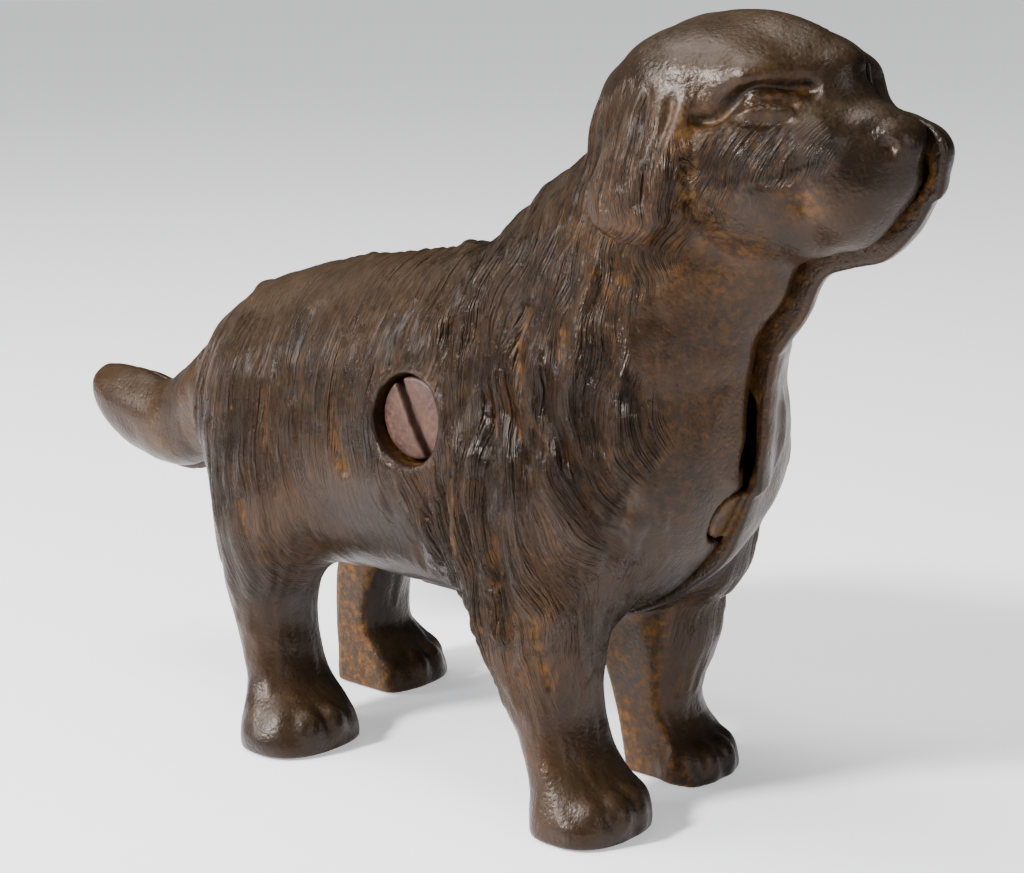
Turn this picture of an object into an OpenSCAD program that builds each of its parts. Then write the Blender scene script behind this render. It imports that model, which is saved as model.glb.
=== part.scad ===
// Cast iron still bank in the form of a standing long-haired dog.
// Two hollow half castings meet on the dog's middle plane and one slotted
// machine screw, sunk in the right flank, clamps them together.
//
// Frame: +X towards the nose, +Y towards the dog's left, +Z up.
// Origin: on the ground, under the middle of the bounding box.
// Millimetres.

/* [Dog] */
// Length of one casting, tail tip to nose
body_length = 136; // [113:0.5:165]
// Overall height, ground to the top of the head
body_height = 93; // [77:0.5:112]
// Overall width across the hind feet
body_width = 41.6; // [36:0.2:50]
// Thickness of the cast wall
wall = 2.8; // [2.2:0.1:3.6]

/* [Legs] */
// Distance from the middle plane to the flat inner face of the front legs
front_inner_y = 5.6; // [4.6:0.1:6.8]
// Distance from the middle plane to the flat inner face of the hind legs
hind_inner_y = 6.6; // [5.4:0.1:8]
// How far the right front foot stands ahead of the left one
front_stride = 3.4; // [0:0.1:5]
// How far the right hind foot stands ahead of the left one
hind_stride = 8.4; // [0:0.1:10.5]

/* [Joint line] */
// Gap left between the two cast rims
seam_gap = 0.6; // [0.3:0.1:1]
// Forward and downward mismatch of the left casting
casting_mismatch = 0.6; // [0:0.1:1]
// Radius of the rounded locating tongue on the chest
tongue_r = 3; // [2.4:0.1:3.8]
// Reach of the tongue past the middle plane
tongue_reach = 3.8; // [3:0.1:4.6]
// Thickness of the tongue
tongue_t = 2.4; // [1.8:0.1:3]
// Clearance round the tongue in its notch
tongue_clearance = 0.4; // [0.3:0.05:0.6]

/* [Coin slot] */
// Length of the coin slot along the back
slot_length = 34; // [28:0.5:40]
// Width of the coin slot, shared by the two halves
slot_width = 4.8; // [4.4:0.1:6]

/* [Clamp screw] */
// Outside diameter of the screw thread
screw_d = 4.76; // [3.9:0.02:5.8]
// Diameter of the cheese head
head_d = 9.8; // [8.6:0.1:11.8]
// Thickness of the cheese head
head_h = 2.8; // [2.2:0.1:3.4]
// Width of the driver slot
driver_slot_w = 1.3; // [1:0.1:1.7]
// Depth of the driver slot
driver_slot_depth = 1.3; // [0.9:0.1:1.7]
// Angle of the driver slot, turned from upright
driver_slot_angle = 28; // [0:1:90]
// Length of thread engaged in the left boss, 12 turns of 24 per inch
engaged_length = 12.7; // [10:0.1:14]
// Depth from the flank down to the top of the screw head
head_sink = 1.7; // [1:0.1:2.4]

/* [Bosses] */
// Diameter of the bosses that meet inside the body
boss_d = 10.4; // [9.6:0.1:13]
// Wall of the cup round the screw head
cup_wall = 2.2; // [1.8:0.1:3]
// Radial clearance round the screw head in its recess
recess_clearance = 0.5; // [0.3:0.05:0.8]
// Radial clearance of the screw in the plain hole of the right boss
plain_hole_clearance = 0.25; // [0.15:0.05:0.4]
// Radial running clearance of the screw in the tapped hole
thread_clearance = 0.04; // [0.02:0.01:0.08]
// Depth left past the screw tip in the blind tapped hole
tip_clearance = 1; // [0.5:0.1:1.5]

/* [Hidden] */
iron = [0.25, 0.18, 0.13];
iron_far = [0.36, 0.27, 0.19];
steel = [0.42, 0.27, 0.19];
$fn = 48;

// The dog is drawn at its natural size, then fitted to the driving sizes.
drawn_length = 137.2;
drawn_height = 92;
drawn_width = 41.6;
sx = body_length / drawn_length;
sy = body_width / drawn_width;
sz = body_height / drawn_height;

// Sides round a loft, and rings between two stations.
body_sides = 40;
limb_sides = 20;
rings = 3;

// Sizes that follow from the driving sizes.
far = 200;
rim_y = seam_gap / 2;
screw_x = 10.5 * sx;
screw_z = 46.4 * sz;
flank_y = 18.4 * sy;
head_top_y = flank_y - head_sink;
seat_y = head_top_y - head_h;
recess_d = head_d + 2 * recess_clearance;
cup_d = recess_d + 2 * cup_wall;
cup_floor = 2.6;
boss_root_y = flank_y - 0.8 * wall;
tap_depth = engaged_length + tip_clearance;
slot_x = -10.6 * sx;
slot_floor_z = 46 * sz;
notch_x = 43.6 * sx;
notch_z = 37.6 * sz;
notch_pitch = -27;

// A station is [x, y, z, pitch, upper radius, lower radius, side radius,
// squareness]: the ring stands across a path that climbs at the pitch.
torso = [
    [-42.0, 0, 39.5, 0, 4.4, 5.5, 4.0, 2.0],
    [-39.0, 0, 39.8, 0, 9.4, 11.0, 9.4, 2.1],
    [-33.0, 0, 40.2, 0, 14.2, 15.0, 14.8, 2.2],
    [-24.0, 0, 40.8, 0, 17.6, 18.0, 18.2, 2.2],
    [-12.0, 0, 41.6, 0, 19.8, 19.4, 18.6, 2.2],
    [2.0, 0, 42.4, 0, 21.3, 20.0, 18.2, 2.2],
    [14.0, 0, 43.2, 0, 22.2, 21.0, 18.6, 2.2],
    [26.0, 0, 43.6, 0, 21.0, 21.0, 18.6, 2.2],
    [36.0, 0, 44.5, 0, 17.0, 18.2, 16.8, 2.1],
    [43.0, 0, 45.5, 0, 12.0, 12.4, 12.8, 2.0],
    [46.6, 0, 47.0, 0, 7.0, 6.0, 7.0, 2.0]
];
neck = [
    [22.0, 0, 42.0, 60, 17.0, 18.0, 15.5, 2.0],
    [26.5, 0, 51.5, 60, 21.0, 20.5, 18.0, 2.1],
    [31.5, 0, 60.5, 63, 18.6, 18.0, 16.6, 2.1],
    [36.0, 0, 69.0, 66, 14.8, 15.0, 14.0, 2.0],
    [39.0, 0, 76.0, 75, 10.8, 11.0, 11.5, 2.0]
];
head = [
    [28.0, 0, 78.6, 0, 4.0, 4.0, 4.5, 2.0],
    [31.0, 0, 78.6, 0, 8.8, 9.0, 9.0, 2.0],
    [37.0, 0, 78.6, 0, 12.2, 12.5, 12.2, 2.0],
    [44.0, 0, 78.6, 0, 13.4, 12.8, 13.0, 2.1],
    [51.0, 0, 78.4, 0, 13.2, 12.2, 12.2, 2.2],
    [56.0, 0, 78.0, 0, 12.4, 11.0, 10.4, 2.2],
    [59.0, 0, 77.4, 0, 8.7, 9.6, 8.4, 2.2],
    [63.0, 0, 76.8, 0, 7.0, 7.8, 7.0, 2.2],
    [66.5, 0, 77.2, 0, 5.2, 4.8, 5.0, 2.1],
    [68.4, 0, 77.8, 0, 2.4, 2.4, 2.4, 2.0]
];
tail = [
    [-68.4, 0, 36.8, 15, 2.2, 2.4, 2.4, 2.0],
    [-65.6, 0, 36.6, 10, 4.2, 4.6, 4.2, 2.0],
    [-59.0, 0, 35.2, 0, 5.6, 6.0, 5.2, 2.0],
    [-52.0, 0, 34.6, 10, 5.8, 6.4, 5.4, 2.0],
    [-46.0, 0, 37.4, 25, 6.4, 7.0, 6.2, 2.0],
    [-39.0, 0, 41.0, 30, 7.4, 7.6, 7.4, 2.0]
];

// Legs are drawn for one side, at y > 0, and mirrored. The last column of a
// station tells how much of the stride it takes.
front_leg = [
    [24.0, 11.5, 44.0, -90, 10.5, 9.5, 6.8, 2.0, 0],
    [24.8, 11.4, 33.0, -90, 10.4, 10.0, 7.4, 2.1, 0],
    [24.8, 10.6, 24.0, -90, 8.9, 8.6, 7.8, 2.2, 0.15],
    [25.4, 10.0, 16.0, -90, 5.9, 6.0, 7.4, 2.3, 0.45],
    [26.4, 9.8, 9.0, -90, 5.0, 4.6, 7.0, 2.3, 0.8],
    [28.4, 10.2, 5.0, -90, 6.4, 5.4, 7.6, 2.4, 1],
    [29.4, 10.6, 2.0, -90, 7.2, 5.8, 8.0, 2.6, 1],
    [29.2, 10.6, -1.0, -90, 6.6, 5.6, 7.6, 2.6, 1]
];
hind_leg = [
    [-22.0, 12.0, 44.0, -90, 9.0, 7.4, 7.0, 2.0, 0],
    [-22.0, 12.4, 33.0, -90, 10.0, 6.6, 7.2, 2.1, 0],
    [-23.4, 12.0, 24.0, -90, 8.6, 5.4, 7.2, 2.2, 0.3],
    [-25.0, 11.4, 16.0, -90, 5.2, 4.4, 6.4, 2.3, 0.6],
    [-25.4, 11.4, 9.0, -90, 4.4, 4.2, 6.2, 2.3, 0.9],
    [-23.8, 12.2, 5.0, -90, 6.2, 5.6, 7.2, 2.4, 1],
    [-22.8, 12.6, 2.0, -90, 7.2, 6.4, 8.2, 2.6, 1],
    [-23.0, 12.4, -1.0, -90, 6.6, 6.0, 7.8, 2.6, 1]
];
ear = [
    [43.4, 11.2, 88.6, -90, 3.2, 4.0, 1.8, 2.0],
    [42.0, 12.6, 84.0, -90, 5.6, 6.4, 2.4, 2.0],
    [40.6, 13.4, 78.0, -90, 6.8, 6.6, 2.4, 2.0],
    [39.2, 13.8, 72.4, -90, 6.0, 5.0, 2.2, 2.0],
    [38.4, 13.6, 69.2, -90, 2.8, 2.6, 1.4, 2.0]
];

// Blend of four neighbouring values, passing through the middle two.
function blend(a, b, c, d, t) =
    0.5 * (2 * b + (c - a) * t + (2 * a - 5 * b + 4 * c - d) * t * t
    + (3 * b - a - 3 * c + d) * t * t * t);

// The stations with smooth ones put in between.
function smooth_rows(rows, n) = let (last = len(rows) - 1) [
    for (i = [0:last - 1]) for (k = [0:n - 1])
        blend(rows[max(i - 1, 0)], rows[i], rows[i + 1], rows[min(i + 2, last)], k / n),
    rows[last]
];

function power(v, e) = sign(v) * pow(abs(v), e);

// One ring of a station. Half a step keeps its points off the middle plane.
function ring(s, sides, grow) = [
    for (k = [0:sides - 1])
        let (
            turn = 360 * (k + 0.5) / sides,
            rise = power(cos(turn), 2 / s[7]),
            up = rise * max((rise > 0 ? s[4] : s[5]) + grow, 0.6),
            out = power(sin(turn), 2 / s[7]) * max(s[6] + grow, 0.6)
        )
        [
            (s[0] - up * sin(s[3])) * sx,
            (s[1] + out) * sy,
            (s[2] + up * cos(s[3])) * sz
        ]
];

module loft(rows, sides, grow = 0) {
    stations = smooth_rows(rows, rings);
    count = len(stations);
    points = [for (s = stations) each ring(s, sides, grow)];
    walls = [
        for (i = [0:count - 2]) for (k = [0:sides - 1])
            let (a = i * sides, b = a + sides, n = (k + 1) % sides)
            each [[a + k, a + n, b + n], [a + k, b + n, b + k]]
    ];
    start = [for (k = [sides - 1:-1:0]) k];
    end = [for (k = [0:sides - 1]) (count - 1) * sides + k];
    polyhedron(points = points, faces = concat(walls, [start, end]));
}

// Legs keep to their own side of the flat inner face.
module leg(rows, stride, side, inner_y) {
    stood = [
        for (s = rows)
            [s[0] + s[8] * stride / sx, s[1] * side, s[2], s[3], s[4], s[5], s[6], s[7]]
    ];
    intersection() {
        loft(stood, limb_sides);
        translate([-far / 2, side > 0 ? inner_y : -inner_y - far, -far / 2])
            cube(far);
    }
}

// Everything outside the parting line on one side of the dog.
module outer_form(side, front_step, hind_step) {
    union() {
        loft(torso, body_sides);
        loft(neck, body_sides);
        loft(head, body_sides);
        loft(tail, limb_sides);
        leg(front_leg, front_step, side, front_inner_y);
        leg(hind_leg, hind_step, side, hind_inner_y);
        loft([for (s = ear) [s[0], s[1] * side, s[2], s[3], s[4], s[5], s[6], s[7]]], limb_sides);
    }
}

// The hollow that the core leaves: trunk, neck and head in one room.
module hollow_form() {
    union() {
        loft([for (i = [1:len(torso) - 2]) torso[i]], body_sides, -wall);
        loft(neck, body_sides, -wall);
        loft([for (i = [2:len(head) - 3]) head[i]], body_sides, -wall);
    }
}

// A thin-walled half as it leaves the mould, a little past the parting line.
module half_shell(side, front_step, hind_step) {
    band = 1;
    resize([0, 0, 0]) intersection() {
        difference() {
            outer_form(side, front_step, hind_step);
            hollow_form();
        }
        translate([-far / 2, side > 0 ? -band : band - far, -far / 2])
            cube(far);
    }
}

// Cylinder along Y from y0 to y1 on the screw axis.
module on_screw_axis(d, y0, y1) {
    translate([screw_x, y0, screw_z])
        rotate([-90, 0, 0])
            cylinder(d = d, h = y1 - y0);
}

// Round-ended tab that crosses the middle plane on the chest.
module tab(r, reach, t) {
    translate([notch_x, 0, notch_z]) rotate([0, -notch_pitch, 0]) {
        translate([-t / 2, -reach + r, 0])
            rotate([0, 90, 0])
                cylinder(r = r, h = t);
        translate([-t / 2, -reach + r, -r])
            cube([t, reach - r + rim_y + 1.6, 2 * r]);
    }
}

module slot_cut() {
    translate([slot_x - slot_length / 2, -slot_width / 2, slot_floor_z])
        cube([slot_length, slot_width, far]);
}

module ground_cut() {
    translate([-far / 2, -far / 2, -far])
        cube(far);
}

module right_half() {
    color(iron)
    difference() {
        union() {
            difference() {
                half_shell(-1, front_stride, hind_stride);
                translate([-far / 2, -rim_y, -far / 2]) cube(far);
                tab(tongue_r + tongue_clearance, tongue_reach + tongue_clearance, 4 * wall);
            }
            on_screw_axis(cup_d, -boss_root_y, -seat_y + cup_floor);
            on_screw_axis(boss_d, -boss_root_y, 0);
        }
        on_screw_axis(recess_d, -far / 2, -seat_y);
        on_screw_axis(screw_d + 2 * plain_hole_clearance, -far / 2, 1);
        slot_cut();
        ground_cut();
    }
}

module left_half() {
    color(iron_far)
    difference() {
        union() {
            difference() {
                translate([casting_mismatch, 0, -casting_mismatch])
                    half_shell(1, 0, 0);
                translate([-far / 2, rim_y - far, -far / 2]) cube(far);
            }
            on_screw_axis(boss_d, 0, boss_root_y);
            tab(tongue_r, tongue_reach, tongue_t);
        }
        on_screw_axis(screw_d + 2 * thread_clearance, -1, tap_depth);
        slot_cut();
        ground_cut();
    }
}

module clamp_screw() {
    color(steel)
    difference() {
        union() {
            on_screw_axis(head_d, -head_top_y, -seat_y);
            on_screw_axis(screw_d, -seat_y - head_h / 2, engaged_length);
        }
        translate([screw_x, -head_top_y, screw_z])
            rotate([0, -driver_slot_angle, 0])
                cube([driver_slot_w, 2 * driver_slot_depth, 2 * head_d], center = true);
    }
}

right_half();
left_half();
clamp_screw();
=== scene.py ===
"""Cast iron still bank: a standing long-haired dog cast in two hollow halves
that one slotted machine screw clamps together."""

import math

import bpy
import numpy as np
from bpy.props import FloatProperty, FloatVectorProperty, PointerProperty
from mathutils import Matrix, Vector


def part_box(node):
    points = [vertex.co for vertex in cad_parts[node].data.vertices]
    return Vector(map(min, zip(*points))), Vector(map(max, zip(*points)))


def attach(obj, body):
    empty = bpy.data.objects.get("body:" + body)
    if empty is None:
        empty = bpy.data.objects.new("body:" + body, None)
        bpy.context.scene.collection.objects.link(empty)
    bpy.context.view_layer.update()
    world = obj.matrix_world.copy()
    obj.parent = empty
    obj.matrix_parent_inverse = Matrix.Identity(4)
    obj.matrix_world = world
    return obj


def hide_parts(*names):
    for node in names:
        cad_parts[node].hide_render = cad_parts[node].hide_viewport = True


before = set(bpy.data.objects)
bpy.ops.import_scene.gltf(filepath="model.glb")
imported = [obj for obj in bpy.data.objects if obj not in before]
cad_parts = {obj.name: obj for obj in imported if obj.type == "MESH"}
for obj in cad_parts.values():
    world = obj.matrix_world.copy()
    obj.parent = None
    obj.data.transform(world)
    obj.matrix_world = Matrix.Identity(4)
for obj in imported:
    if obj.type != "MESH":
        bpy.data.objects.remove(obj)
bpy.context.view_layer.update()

bl_info = {
    "name": "Cast Iron Dog Bank",
    "version": (1, 0, 0),
    "blender": (4, 5, 0),
    "location": "View3D > Sidebar > Dog Bank",
    "description": "Builds the two castings, the clamp screw and the stage",
    "category": "Object",
}

MM = 0.001

# The halves are drawn at a natural size and fitted to the boxes of the CAD.
DRAWN_LENGTH, DRAWN_HALF_WIDTH, DRAWN_HEIGHT = 137.36, 20.72, 91.98
_low, _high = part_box("right_half")
FIT = np.array(
    [
        (_high.x - _low.x) / MM / DRAWN_LENGTH,
        -_low.y / MM / DRAWN_HALF_WIDTH,
        _high.z / MM / DRAWN_HEIGHT,
    ]
)
BLOCK_LOW, BLOCK_HIGH = (-71, -4.6, -1.2), (71, 22.4, 94.4)
MOST_TRIANGLES = 196000
WALL = 2.8
RIM = 0.3
MISMATCH = 0.6
RIGHT_SEED, LEFT_SEED = 7, 11
FRONT_INNER, HIND_INNER = 5.6, 6.6
FRONT_STRIDE, HIND_STRIDE = 3.4, 8.4
SCREW_X, SCREW_Z = 10.408, 46.904
SEAT_Y, BOSS_ROOT, CUP_FLOOR = 13.9, 16.16, 2.6
CUP_R, BOSS_R, RECESS_R, PLAIN_HOLE_R, TAPPED_HOLE_R = 7.6, 5.2, 5.4, 2.63, 2.42
TAP_DEPTH = 13.7
SLOT_X, SLOT_HALF_LENGTH, SLOT_HALF_WIDTH, SLOT_FLOOR = -10.5, 17.0, 2.4, 46.5
NOTCH_X, NOTCH_Z, NOTCH_PITCH = 43.22, 38.01, 27.0
TONGUE_R, TONGUE_REACH, TONGUE_T, TONGUE_ROOT, TONGUE_CLEARANCE = 3.0, 3.8, 2.4, 1.9, 0.4
HEAD_TOP_Y, TIP_Y, HEAD_CHAMFER = -16.7, 12.7, 0.45
THREAD_PITCH, THREAD_CREST = 25.4 / 24, 0.62
RIDGE_PITCH, RIDGE_BEND, RIDGE_HEIGHT = 4.7, 2.6, 1.2
CHEST_X, CHEST_ROUND, RUMP_X, RUMP_ROUND = 24, 18, -26, 17

# Stations: x, y, z, pitch, upper, lower and side radius, squareness, stride share.
TORSO = [
    (-42, 0, 39.9, 0, 4.4, 4.0, 4, 2, 0),
    (-39, 0, 40.4, 0, 8.8, 6.6, 8.0, 2.0, 0),
    (-33, 0, 40.8, 0, 14.0, 11.4, 12.8, 2.1, 0),
    (-24, 0, 40.8, 0, 18.2, 16.8, 17.6, 2.2, 0),
    (-12, 0, 41.6, 0, 20.6, 19.4, 18.6, 2.2, 0),
    (2, 0, 42.4, 0, 22.0, 20.3, 18.2, 2.2, 0),
    (14, 0, 43.2, 0, 22.4, 21.7, 18.6, 2.2, 0),
    (26, 0, 43.6, 0, 21, 21.6, 18.6, 2.2, 0),
    (36, 0, 44.5, 0, 17, 18.2, 16.8, 2.1, 0),
    (43, 0, 45.5, 0, 12, 12.4, 12.8, 2, 0),
    (46.6, 0, 47, 0, 7, 6, 7, 2, 0),
]
NECK = [
    (22, 0, 42, 60, 17, 18, 15.5, 2, 0),
    (26.5, 0, 51.5, 60, 20.2, 20.5, 18, 2.1, 0),
    (31.5, 0, 60.5, 63, 18.0, 18, 16.6, 2.1, 0),
    (36, 0, 69, 66, 14.8, 15, 13.2, 2, 0),
    (39, 0, 76, 75, 10.8, 11, 11.5, 2, 0),
]
HEAD = [
    (28, 0, 78.6, 0, 4, 4, 4.5, 2, 0),
    (31, 0, 78.6, 0, 8.8, 9, 9, 2, 0),
    (37, 0, 78.6, 0, 12.2, 12.5, 12.2, 2, 0),
    (44, 0, 78.6, 0, 13.4, 12.8, 13, 2.1, 0),
    (51, 0, 78.4, 0, 13.2, 12.2, 12.2, 2.2, 0),
    (56, 0, 78, 0, 12.2, 11, 10.4, 2.2, 0),
    (59, 0, 77.4, 0, 9.0, 9.6, 8.4, 2.2, 0),
    (63, 0, 76.8, 0, 7, 7.8, 6.8, 2.2, 0),
    (66.5, 0, 77.2, 0, 5.2, 4.8, 4.8, 2.1, 0),
    (68.4, 0, 77.8, 0, 2.4, 2.4, 2.4, 2, 0),
]
TAIL = [
    (-68.4, 0, 37.4, 15, 2.4, 2.4, 2.4, 2, 0),
    (-65.6, 0, 37.2, 10, 4.5, 4.6, 4.2, 2, 0),
    (-59, 0, 35.6, 0, 6.2, 6, 5.2, 2, 0),
    (-52, 0, 34.8, 10, 6.2, 6.4, 5.4, 2, 0),
    (-46, 0, 37.4, 25, 6.4, 7, 6.2, 2, 0),
    (-39, 0, 41, 30, 7.4, 7.6, 7.4, 2, 0),
]
FRONT_LEG = [
    (24, 7.0, 56, -90, 4, 4, 3.4, 2, 0),
    (24, 11.5, 44, -90, 10.5, 9.5, 6.8, 2, 0),
    (24.8, 11.4, 33, -90, 10.4, 10, 7.4, 2.1, 0),
    (24.6, 10.6, 24, -90, 8.3, 8.6, 7.8, 2.2, 0.15),
    (25.0, 10, 16, -90, 5.0, 6, 7.2, 2.2, 0.45),
    (26.0, 9.8, 9, -90, 4.2, 4.6, 6.6, 2.2, 0.8),
    (27.8, 10.2, 5, -90, 5.6, 5.4, 7.2, 2.3, 1),
    (28.8, 10.6, 2, -90, 6.6, 5.8, 7.8, 2.5, 1),
    (28.8, 10.6, -1, -90, 6.4, 5.6, 7.6, 2.5, 1),
]
HIND_LEG = [
    (-21.0, 7.0, 56, -90, 3.0, 3.0, 3.0, 2, 0),
    (-21.0, 10.4, 50, -90, 7.6, 5.6, 6.4, 2, 0),
    (-21.0, 11.9, 44, -90, 9, 6.2, 7, 2, 0),
    (-21.0, 12.2, 33, -90, 8.8, 5.6, 7.2, 2.1, 0),
    (-23.0, 12, 24, -90, 7.4, 5.2, 7.0, 2.1, 0.3),
    (-25.2, 11.4, 16, -90, 4.4, 4.4, 6.2, 2.2, 0.6),
    (-25.8, 11.4, 9, -90, 3.8, 4.2, 6.0, 2.2, 0.9),
    (-24.4, 12.2, 5, -90, 5.6, 5.6, 7.2, 2.3, 1),
    (-23.6, 12.6, 2, -90, 6.8, 6.4, 8.1, 2.4, 1),
    (-23.6, 12.4, -1, -90, 6.6, 6.2, 7.9, 2.4, 1),
]
EAR = [
    (43.2, 8.4, 89.4, -90, 1.2, 1.8, 0.9, 2, 0),
    (43.2, 9.6, 87.0, -90, 2.6, 3.2, 1.4, 2, 0),
    (43.2, 11.6, 83.4, -90, 4.4, 5.2, 2.3, 2.1, 0),
    (42.8, 13.5, 78.4, -90, 5.2, 6.6, 2.9, 2.2, 0),
    (41.8, 14.4, 74, -90, 4.9, 6.2, 2.9, 2.2, 0),
    (41.4, 14.8, 70.8, -90, 4.2, 4.8, 2.6, 2.1, 0),
    (41.4, 14.6, 68.8, -90, 1.8, 2.0, 1.3, 2, 0),
]

# Soft lumps: x, y, z, three radii, and how softly each melts in.
HEAD_LUMPS = [
    (46.0, 0.0, 82.9, 12.0, 10.0, 8.9, 3.0),
    (43.0, 7.4, 86.0, 7.0, 5.0, 4.6, 3.0),
    (51.8, 7.2, 86.0, 4.6, 4.3, 3.4, 1.4),
    (56.2, 0.0, 86.2, 5.0, 5.6, 3.7, 2.0),
    (50.5, 9.8, 79.2, 5.0, 3.4, 4.4, 1.6),
    (57.0, 6.6, 79.6, 5.6, 3.8, 3.9, 1.6),
    (60.5, 4.0, 74.6, 4.6, 3.6, 4.0, 2.0),
    (56.2, 7.4, 74.4, 1.9, 1.6, 1.6, 0.7),
    (63.4, 2.9, 81.9, 1.9, 1.9, 1.3, 1.0),
    (66.0, 2.7, 80.8, 1.6, 1.6, 1.2, 1.2),
    (66.5, 0.6, 79.5, 2.4, 3.6, 2.7, 0.6),
    (48.6, 10.8, 74.6, 2.8, 2.4, 3.0, 1.2),
    (49.0, 0.0, 66.0, 4.4, 6.0, 6.0, 3.0),
]
STOP_HOLLOW = (63.2, 0, 86.8, 2.4, 5.0, 1.5, 1.2)
# Places where the left half is cast fuller.
LEFT_LUMPS = [
    (34.0, 9.5, 33.0, 6.0, 6.0, 9.0, 2.0),
    (27.6, 11.0, 20.0, 5.2, 6.0, 9.0, 2.0),
]
BACK_LUMPS = [
    (-28.8, 3.0, 55.6, 2.4, 2.2, 1.9, 1.0),
    (8.2, 3.0, 64.2, 2.2, 2.0, 1.5, 1.0),
]
# Toes: angle round the foot, outwards positive, and size.
FRONT_TOES = [(-52, 1.0), (-18, 1.05), (16, 1.05), (50, 1.0)]
TOE_HEIGHT, TOE_SIDE = 2.7, 2.2
HIND_TOES = [(-44, 0.95), (-8, 1.05), (30, 1.05), (68, 1.0), (108, 0.85)]

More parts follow.
